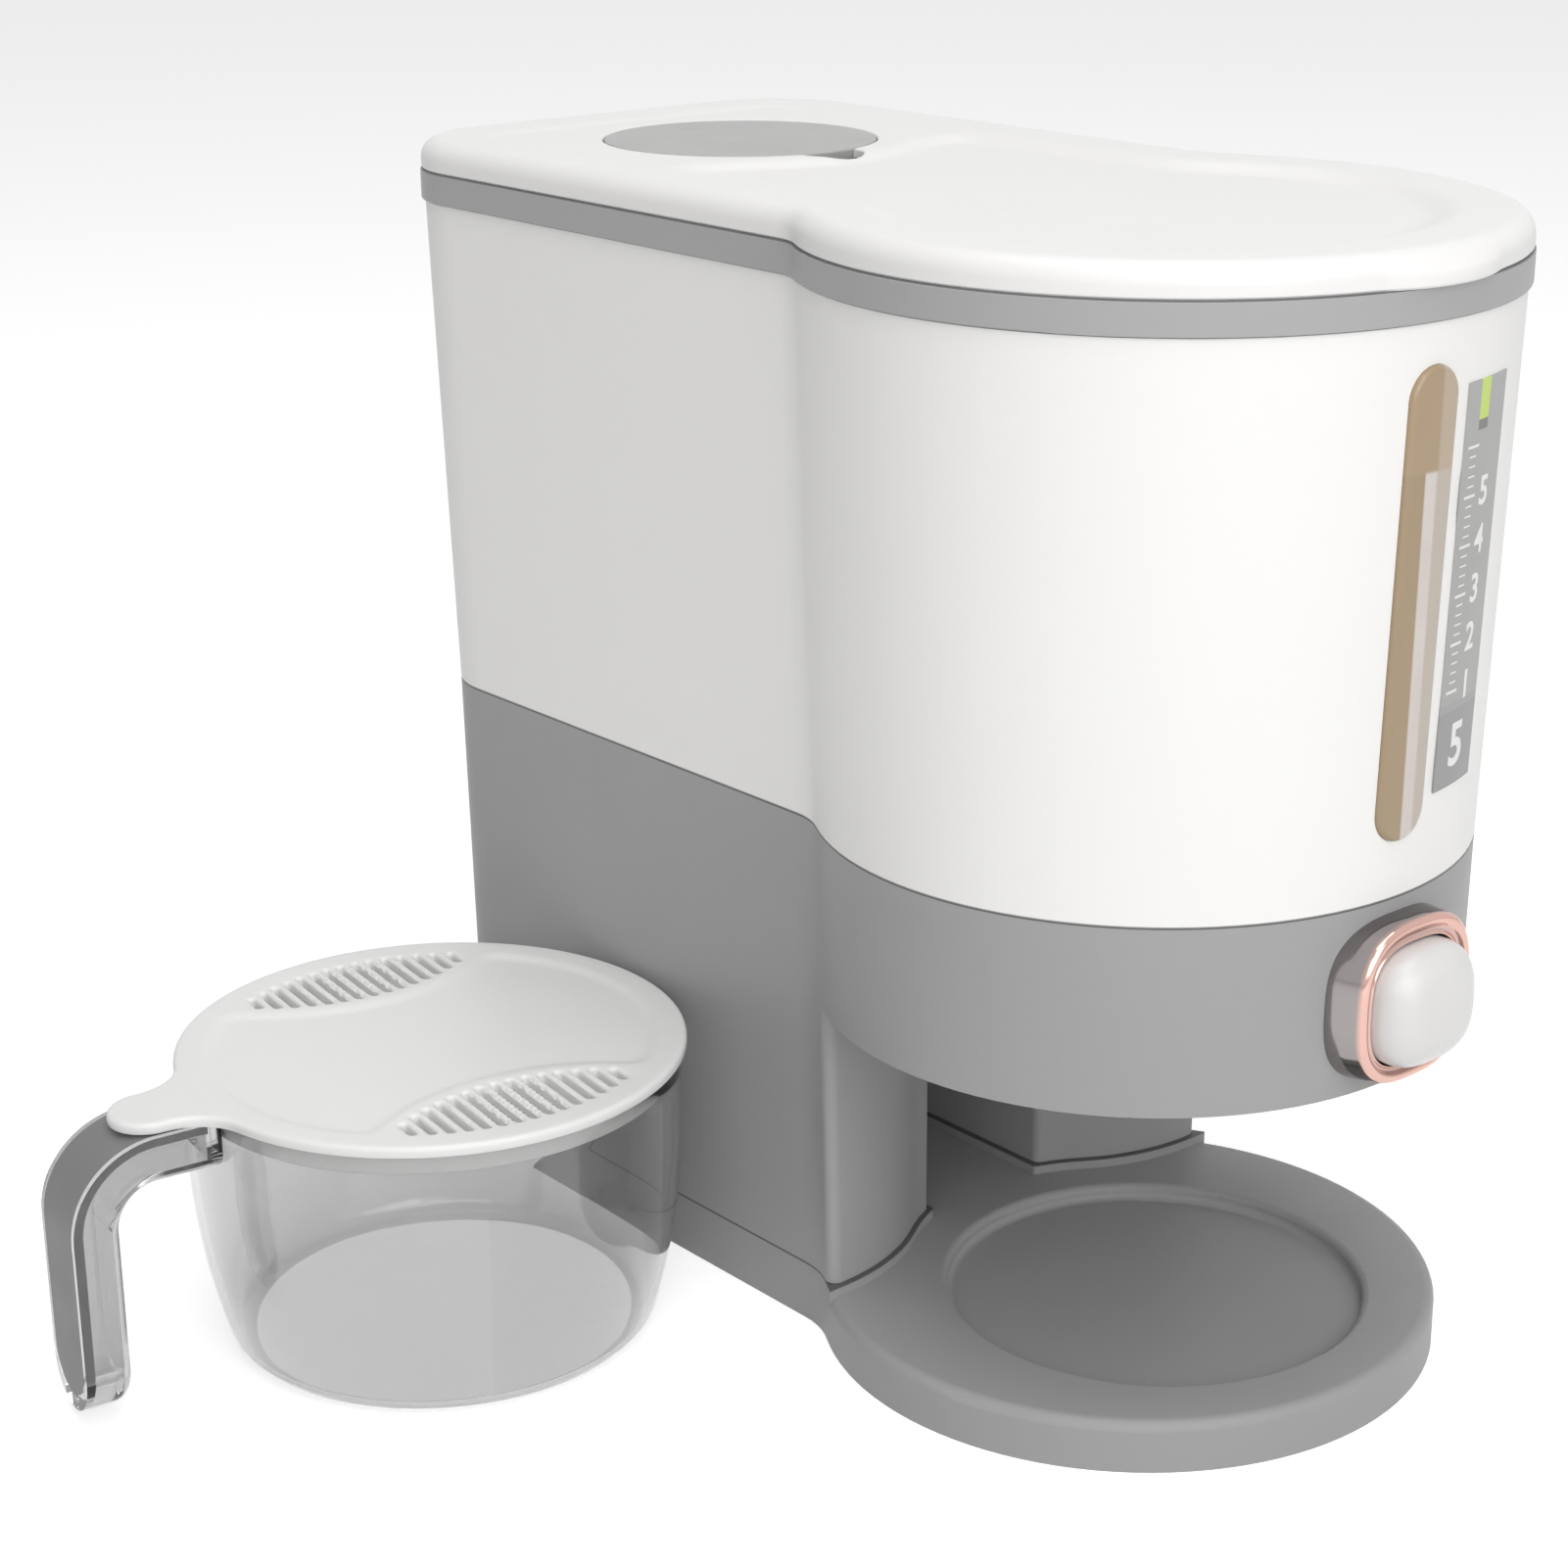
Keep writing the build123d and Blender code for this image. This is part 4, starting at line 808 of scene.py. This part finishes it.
def cup_profile():
    """Points of the closed profile, radius and height, from the middle of the foot round to the floor."""
    rise = CUP_BULGE_Z - CUP_CORNER
    bow = (rise ** 2 + CUP_DRAW ** 2) / (2 * CUP_DRAW)
    lean = atan2(rise, bow - CUP_DRAW)
    corner = CUP_CORNER / (1 - sin(lean))
    foot = CUP_R - CUP_DRAW - corner * cos(lean)

    def side(inset):
        points = [(r, inset) for r in np.linspace(0.0, foot, 14)[1:]]
        points += [(foot + (corner - inset) * cos(a), corner + (corner - inset) * sin(a))
                   for a in np.linspace(-pi / 2, -lean, 14)[1:]]
        points += [(CUP_R - bow + (bow - inset) * cos(a), CUP_BULGE_Z + (bow - inset) * sin(a))
                   for a in np.linspace(-lean, 0.0, 20)[1:]]
        return points

    bend_z, inner_r = CUP_H - CUP_RIM, CUP_R - CUP_WALL
    outer = side(0.0) + [(CUP_R, z) for z in (60.0, 66.0, bend_z)]
    rim = [(CUP_R - CUP_RIM * (1 - cos(a)), bend_z + CUP_RIM * sin(a)) for a in quarter(4)]
    rim += [(inner_r + CUP_RIM * (1 - sin(a)), bend_z + CUP_RIM * cos(a)) for a in (0.0, *quarter(4))]
    inner = side(CUP_WALL) + [(inner_r, z) for z in (60.0, 66.0)]
    return outer + rim + inner[::-1], corner, lean


def make_cup():
    cup = Moulding()
    profile, corner, lean = cup_profile()
    rings = [cup.circle(r, z, 240) for r, z in profile]
    cup.walls(rings)
    cup.cap(rings[0], (0, 0, 0))
    cup.cap(rings[-1], (0, 0, CUP_WALL))
    print("corner radius", round(corner, 2), "lean", round(lean, 3))
    return at_cup(cup).build("cup_shell", cup_clear)


cup_shell = make_cup()

# %% [markdown]
# ## Plated ring
# The ring round the button is one casting: a flank that narrows a little towards the front, a
# rounded outer lip, a shallow groove, and a thin inner lip. Mirror plating shows every facet of a
# mesh, so the ring is drawn here as many fine sections of one rounded square.

# %% Ring sections
BUTTON_Z, ROD_Z = 112.4, 106.0
RING_W, RING_H = 40.0, 39.4
BUTTON_W, BUTTON_H = 29.4, 28.2
BUTTON_BACK, BUTTON_FRONT, BUTTON_ROLL = -70.6, -94.0, 7.5
SQUARENESS = 2.8


def rounded_square(w, h):
    """Softly rounded square round the button's middle, as (across, up): a superellipse."""
    angles = np.linspace(0, 2 * pi, 193)[:-1]
    across, up = (size / 2 * np.sign(way) * np.abs(way) ** (2 / SQUARENESS)
                  for size, way in ((w, np.cos(angles)), (h, np.sin(angles))))
    return np.column_stack([across, BUTTON_Z + up])


def section(shape, inset, y, w=RING_W, h=RING_H, rise=0.0):
    """One section of a piece drawn towards the front: inset from the square, at a depth y."""
    plan = rounded_square(w - 2 * inset, h - 2 * inset)
    low, high = plan[:, 1].min(), plan[:, 1].max()
    return shape.loop([(x, y, z + rise * (z - low) / (high - low)) for x, z in plan])


def make_ring():
    ring = Moulding()
    profile = [(2.2, -72.6, 0.0), (2.2, -75.9, 0.0), (0.0, -76.0, 0.0), (0.1, -77.5, 0.1),
               (0.55, -80.8, 0.5), (1.1, -84.1, 1.0)]
    profile += [(2.7 - 1.6 * cos(a), -84.1 - 1.6 * sin(a), 1.0) for a in quarter(8)]
    profile += [(3.0, -85.65, 0.95), (3.3, -85.40, 0.85), (3.6, -84.95, 0.75), (3.9, -84.55, 0.6),
                (4.2, -84.40, 0.45), (4.45, -84.50, 0.35), (4.65, -84.75, 0.2), (4.8, -84.90, 0.1),
                (4.95, -84.90, 0.0), (5.07, -84.75, 0.0), (5.1, -84.5, 0.0), (5.1, -72.6, 0.0)]
    rings = [section(ring, inset, y, rise=rise) for inset, y, rise in profile]
    ring.walls(rings + [rings[0]])
    return ring.build("plated_ring", rose_plating, 50.0)


plated_ring = make_ring()

# %% [markdown]
# ## Push button
# The button is a pillow: a rounded square whose front swells out and rolls over into its sides in
# one sweep. The sections tighten towards the front by a quarter of an ellipse, and the last one is
# filled as a slightly domed face.

# %% Button
def make_button():
    button = Moulding()

    def square(inset, y):
        return section(button, inset, y, BUTTON_W, BUTTON_H)

    shoulder = BUTTON_FRONT + 0.35
    rings = [square(2.5, BUTTON_BACK), square(0.0, BUTTON_BACK), square(0.0, -79.0),
             square(0.0, shoulder + BUTTON_ROLL)]
    for a in quarter(14):
        rings.append(square(BUTTON_ROLL * (1 - cos(a)), shoulder + BUTTON_ROLL * (1 - sin(a))))
    inner = rounded_square(BUTTON_W - 2 * BUTTON_ROLL, BUTTON_H - 2 * BUTTON_ROLL)
    for share in (0.85, 0.65, 0.45, 0.25):
        y = BUTTON_FRONT + 0.35 * share ** 2
        rings.append(button.loop([(x * share, y, BUTTON_Z + (z - BUTTON_Z) * share) for x, z in inner]))
    button.walls(rings)
    button.cap(rings[-1], (0, BUTTON_FRONT, BUTTON_Z))
    hollow = [rings[0], square(2.5, -84.0), square(4.2, BUTTON_FRONT + 3.5)]
    button.walls(hollow)
    button.cap(hollow[-1], (0, BUTTON_FRONT + 3.5, BUTTON_Z))
    hub = [button.loop([(r * cos(t), y, ROD_Z + r * sin(t)) for t in np.linspace(0, 2 * pi, 49)[:-1]])
           for r, y in ((5.0, BUTTON_FRONT + 3.0), (7.6, -86.5), (7.6, BUTTON_BACK))]
    button.walls(hub)
    button.cap(hub[0], (0, BUTTON_FRONT + 3.0, ROD_Z))
    button.cap(hub[-1], (0, BUTTON_BACK, ROD_Z))
    wide = 16.7 / 14.7
    tabs = [button.loop([(x * wide, y, BUTTON_Z + (z - BUTTON_Z) * 0.5)
                         for x, z in rounded_square(BUTTON_W, BUTTON_H)]) for y in (-72.3, BUTTON_BACK)]
    button.walls(tabs)
    button.cap(tabs[0], (0, -72.3, BUTTON_Z))
    button.cap(tabs[1], (0, BUTTON_BACK, BUTTON_Z))
    return button.build("button_pillow", button_white, 60.0)


button_pillow = make_button()

# %% [markdown]
# ## Sight window
# The window is a bar of tinted plastic with round ends that stands a little proud of the wall and
# has a rounded edge. It follows the cone of the nose, so it is drawn flat, as across, up and
# proud, and then wrapped onto the cone.

# %% Wrapping onto the nose
TANK_FOOT, TANK_HEAD, TANK_OUT = 135.6, 264.3, 3.7
BAR_X, BAR_LOW, BAR_HIGH, BAR_HALF = -2.6, 149.2, 255.2, 7.4
BAR_BACK, BAR_FLANGE, BAR_FACE, BAR_EDGE = -3.9, 2.6, 1.4, 1.1


def nose_radius(z):
    """Radius of the tank's nose at a height."""
    return NOSE_R + TANK_OUT * (z - TANK_FOOT) / (TANK_HEAD - TANK_FOOT)


def wrap_straight(points):
    """Across, up and proud to x, y, z: the across stays as seen from the front."""
    return [(x, -sqrt((nose_radius(z) + h) ** 2 - x ** 2), z) for x, z, h in points]


def bar_plan(grow):
    """Outline of the window as across and up: straight sides and round ends."""
    half, low, high = BAR_HALF + grow, BAR_LOW + BAR_HALF, BAR_HIGH - BAR_HALF
    right, left = BAR_X + half, BAR_X - half
    points = arc(BAR_X, low, half, pi, 2 * pi, 40) + run((right, low), (right, high), 60)
    points += arc(BAR_X, high, half, 0, pi, 40) + run((left, high), (left, low), 60)
    return points


def make_window():
    window = Moulding()
    profile = [(BAR_FLANGE, BAR_BACK), (BAR_FLANGE, -2.6), (-0.1, -2.6), (-0.1, BAR_FACE - BAR_EDGE)]
    profile += [(-0.1 - BAR_EDGE * (1 - cos(a)), BAR_FACE - BAR_EDGE * (1 - sin(a))) for a in quarter(7)]
    rings = [window.ring(bar_plan(grow), h) for grow, h in profile]
    window.walls(rings)
    for ring, grow, pitch, gap, h in ((rings[-1], -0.1 - BAR_EDGE, 1.4, 0.7, BAR_FACE),
                                      (rings[0], BAR_FLANGE, 2.0, 1.0, BAR_BACK)):
        net = honeycomb(bar_plan(grow), pitch, gap)
        window.cover(ring, [], np.column_stack([net, np.full(len(net), h)]))
    window.points = wrap_straight(window.points)
    return window.build("window_bar", window_tan, 50.0)


window_bar = make_window()

# %% [markdown]
# ## Scale strip
# The strip is a thin grey label with a darker foot. Its bars are printed, so they belong in the
# material, placed by the angle round the nose and by the height. The white ticks repeat at an even
# pitch, which is work for Geometry Nodes: one thin bar is repeated along a line and bent onto the
# cone. The numerals are text made into a mesh and bent in the same way.

# %% Strip print
BLOCK_Z, STRIPE_Z = 0.1753, 0.1772
LIME_Z, DARK_Z = 0.2406, 0.2383
BAR_FROM, BAR_TO = radians(10.6), radians(13.6)


def printed_strip():
    """The strip's grey with its darker foot, its lime bar and the small dark bar under it."""
    mat = moulded("strip_print", srgb(172, 172, 171), 0.42, 600.0, 0.000006, 0.01)
    tree = mat.node_tree
    bsdf = tree.nodes["Principled BSDF"]
    coord = tree.nodes.new("ShaderNodeTexCoord").outputs["Object"]
    height = axis_of(tree, coord, "Z")
    front = maths(tree, "MULTIPLY", axis_of(tree, coord, "Y"), -1.0)
    angle = maths(tree, "ARCTAN2", axis_of(tree, coord, "X"), front)
    shade = bsdf.inputs["Base Color"].links[0].from_socket
    shade = blend_colours(tree, band_of(tree, height, BLOCK_Z, STRIPE_Z), shade, srgb(164, 164, 164))
    shade = blend_colours(tree, maths(tree, "LESS_THAN", height, BLOCK_Z), shade, srgb(154, 154, 154))
    bar = band_of(tree, angle, BAR_FROM, BAR_TO)
    lime = maths(tree, "MULTIPLY", bar, maths(tree, "GREATER_THAN", height, LIME_Z))
    dark = maths(tree, "MULTIPLY", bar, band_of(tree, height, DARK_Z, LIME_Z))
    shade = blend_colours(tree, lime, shade, srgb(200, 221, 112))
    shade = blend_colours(tree, dark, shade, srgb(124, 124, 122))
    link(tree, shade, bsdf.inputs["Base Color"])
    return mat


strip_print = printed_strip()
print_white = moulded("print_white", srgb(240, 240, 238), 0.4, 600.0, 0.000004, 0.005)
print("strip print ready")

# %% [markdown]
# ## Ticks
# One node tree makes both sets of ticks. Its inputs are the count, the first height, the pitch,
# the size of a tick, its place round the nose, how far it stands proud, and its finish.

# %% Ticks by Geometry Nodes
PRINT_PROUD = 0.00039
TICK_THICK = 0.00008
FIRST_TICK, NUMBER_PITCH = 0.1800, 0.0110


def wrapped_ticks():
    """A node tree that repeats a thin bar up the strip and bends it onto the cone of the nose."""
    tree = bpy.data.node_groups.new("wrapped_ticks", "GeometryNodeTree")
    face = tree.interface
    face.new_socket("Count", in_out="INPUT", socket_type="NodeSocketInt")
    for name in ("Start", "Pitch", "Length", "Height", "Angle", "Proud"):
        face.new_socket(name, in_out="INPUT", socket_type="NodeSocketFloat")
    face.new_socket("Finish", in_out="INPUT", socket_type="NodeSocketMaterial")
    face.new_socket("Geometry", in_out="OUTPUT", socket_type="NodeSocketGeometry")
    new = tree.nodes.new
    given = new("NodeGroupInput").outputs

    def math(operation, a, b=0.0):
        return maths(tree, operation, a, b)

    def vector(*values):
        node = new("ShaderNodeCombineXYZ")
        for socket, value in zip(node.inputs, values):
            feed(tree, value, socket)
        return node.outputs[0]

    line = new("GeometryNodeMeshLine")
    link(tree, given["Count"], line.inputs["Count"])
    link(tree, vector(0, 0, given["Start"]), line.inputs["Start Location"])
    link(tree, vector(0, 0, given["Pitch"]), line.inputs["Offset"])
    bar = new("GeometryNodeMeshCube")
    link(tree, vector(given["Length"], TICK_THICK, given["Height"]), bar.inputs["Size"])
    bar.inputs["Vertices X"].default_value = 5
    repeat = new("GeometryNodeInstanceOnPoints")
    link(tree, line.outputs["Mesh"], repeat.inputs["Points"])
    link(tree, bar.outputs["Mesh"], repeat.inputs["Instance"])
    solid = new("GeometryNodeRealizeInstances")
    link(tree, repeat.outputs["Instances"], solid.inputs["Geometry"])
    place = new("GeometryNodeInputPosition").outputs[0]
    x, y, z = (axis_of(tree, place, axis) for axis in "XYZ")
    slope = TANK_OUT / (TANK_HEAD - TANK_FOOT)
    cone = math("ADD", math("MULTIPLY", z, slope), (NOSE_R - slope * TANK_FOOT) / 1000)
    radius = math("SUBTRACT", math("ADD", cone, given["Proud"]), y)
    angle = math("ADD", math("DIVIDE", x, cone), given["Angle"])
    bent = vector(math("MULTIPLY", radius, math("SINE", angle)),
                  math("MULTIPLY", math("MULTIPLY", radius, math("COSINE", angle)), -1.0), z)
    bend = new("GeometryNodeSetPosition")
    link(tree, solid.outputs[0], bend.inputs["Geometry"])
    link(tree, bent, bend.inputs["Position"])
    paint = new("GeometryNodeSetMaterial")
    link(tree, bend.outputs[0], paint.inputs["Geometry"])
    link(tree, given["Finish"], paint.inputs["Material"])
    link(tree, paint.outputs[0], new("NodeGroupOutput").inputs["Geometry"])
    return tree


def run_tree(name, tree, **values):
    """Puts a tree on an empty mesh, sets its named inputs, and keeps the result as a plain mesh."""
    ob = bpy.data.objects.new(name, bpy.data.meshes.new(name))
    scene.collection.objects.link(ob)
    modifier = ob.modifiers.new("nodes", "NODES")
    modifier.node_group = tree
    for item in tree.interface.items_tree:
        if item.in_out == "INPUT" and item.name in values:
            modifier[item.identifier] = values[item.name]
    graph = bpy.context.evaluated_depsgraph_get()
    me = bpy.data.meshes.new_from_object(ob.evaluated_get(graph))
    ob.modifiers.clear()
    ob.data = me
    me.name = name
    print(name, "faces", len(me.polygons))
    return ob


ticks_tree = wrapped_ticks()
tick_sets = []
for name, count, pitch, length, height in (("ticks_fine", 26, 0.00220, 0.0026, 0.00035),
                                           ("ticks_main", 6, NUMBER_PITCH, 0.0046, 0.00060)):
    tick_sets.append(run_tree(name, ticks_tree, Count=count, Start=FIRST_TICK, Pitch=pitch, Length=length,
                              Height=height, Angle=radians(9.6), Proud=PRINT_PROUD, Finish=print_white))

# %% [markdown]
# ## Numerals
# The numbers 1 to 5 stand beside the main ticks, and a larger 5 on the foot of the strip. Each is
# text turned into a thin plate, whose points are then carried onto the cone.

# %% Numerals
def numeral(name, text, size, angle, z):
    """A numeral as a thin plate on the strip, made a mesh first and then bent onto the nose."""
    curve = bpy.data.curves.new(name, "FONT")
    curve.body = text
    curve.size = size / 1000
    curve.align_x = "CENTER"
    curve.align_y = "CENTER"
    curve.offset = size * 0.02 / 1000
    curve.extrude = 0.00004
    flat = bpy.data.objects.new(name + "_flat", curve)
    scene.collection.objects.link(flat)
    graph = bpy.context.evaluated_depsgraph_get()
    me = bpy.data.meshes.new_from_object(flat.evaluated_get(graph))
    bpy.data.objects.remove(flat)
    me.name = name
    radius = nose_radius(z) / 1000
    for v in me.vertices:
        turn_by = v.co.x / radius + radians(angle)
        here = nose_radius(z + v.co.y * 1000) / 1000 + PRINT_PROUD + v.co.z
        v.co = (here * sin(turn_by), -here * cos(turn_by), z / 1000 + v.co.y)
    me.materials.clear()
    me.materials.append(print_white)
    ob = bpy.data.objects.new(name, me)
    scene.collection.objects.link(ob)
    return ob


numerals = [numeral("numeral_foot", "5", 14.0, 12.9, 166.4)]
for i in range(1, 6):
    z = (FIRST_TICK + NUMBER_PITCH * (i - 1)) * 1000
    numerals.append(numeral(f"numeral_{i}", str(i), 9.0, 14.4, z))
print("numerals:", len(numerals))

# %% [markdown]
# ## Finish on every piece
# The pieces kept from the CAD take their finish here, and the shells made above stand for the CAD
# nodes of the same piece. Each rides on the body that carries it.

# %% Finishes and bodies
finish_of = {
    "base_plate": column_grey, "lower_housing": column_grey, "tank": shell_white, "lid": lid_white,
    "rim_band": band_grey, "desiccant_cap": disc_grey, "button_bezel": rose_plating,
    "button_cap": button_white, "window_lens": window_tan, "scale_strip": strip_print,
    "measuring_cup": cup_clear, "cup_handle": handle_clear, "handle_insert": grip_grey,
    "cup_lid": cup_lid_white, "base_cover": cover_dark, "foot_pads": pad_black,
    "cover_screws": bright_steel, "column_screws": bright_steel, "chute_screws": bright_steel,
    "guide_screws": bright_steel, "return_spring": bright_steel, "hopper": inner_pale,
    "outlet_chute": inner_pale, "gate_plate": inner_pale, "plunger": inner_pale,
    "button_guide": inner_pale, "desiccant_basket": basket_grey, "lid_seal": seal_soft,
}
for name, mat in finish_of.items():
    slots_of = nodes[name].data.materials
    slots_of.clear()
    slots_of.append(mat)
for piece, node, body, slot in (
        (lid_shell, "lid", "lid", "white_shell"),
        (cup_lid_plate, "cup_lid", "cup_lid", "cup_lid_white"),
        (cup_shell, "measuring_cup", "cup", "cup_clear"),
        (plated_ring, "button_bezel", "dispenser", "bezel_plating"),
        (button_pillow, "button_cap", "button", "button_white"),
        (window_bar, "window_lens", "dispenser", "window_tint")):
    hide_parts(node)
    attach(piece, body)
for piece in tick_sets + numerals:
    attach(piece, "dispenser")
print("finished:", len(finish_of), "of", len(nodes))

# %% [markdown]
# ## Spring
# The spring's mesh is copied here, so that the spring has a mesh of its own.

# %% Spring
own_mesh(nodes["return_spring"])
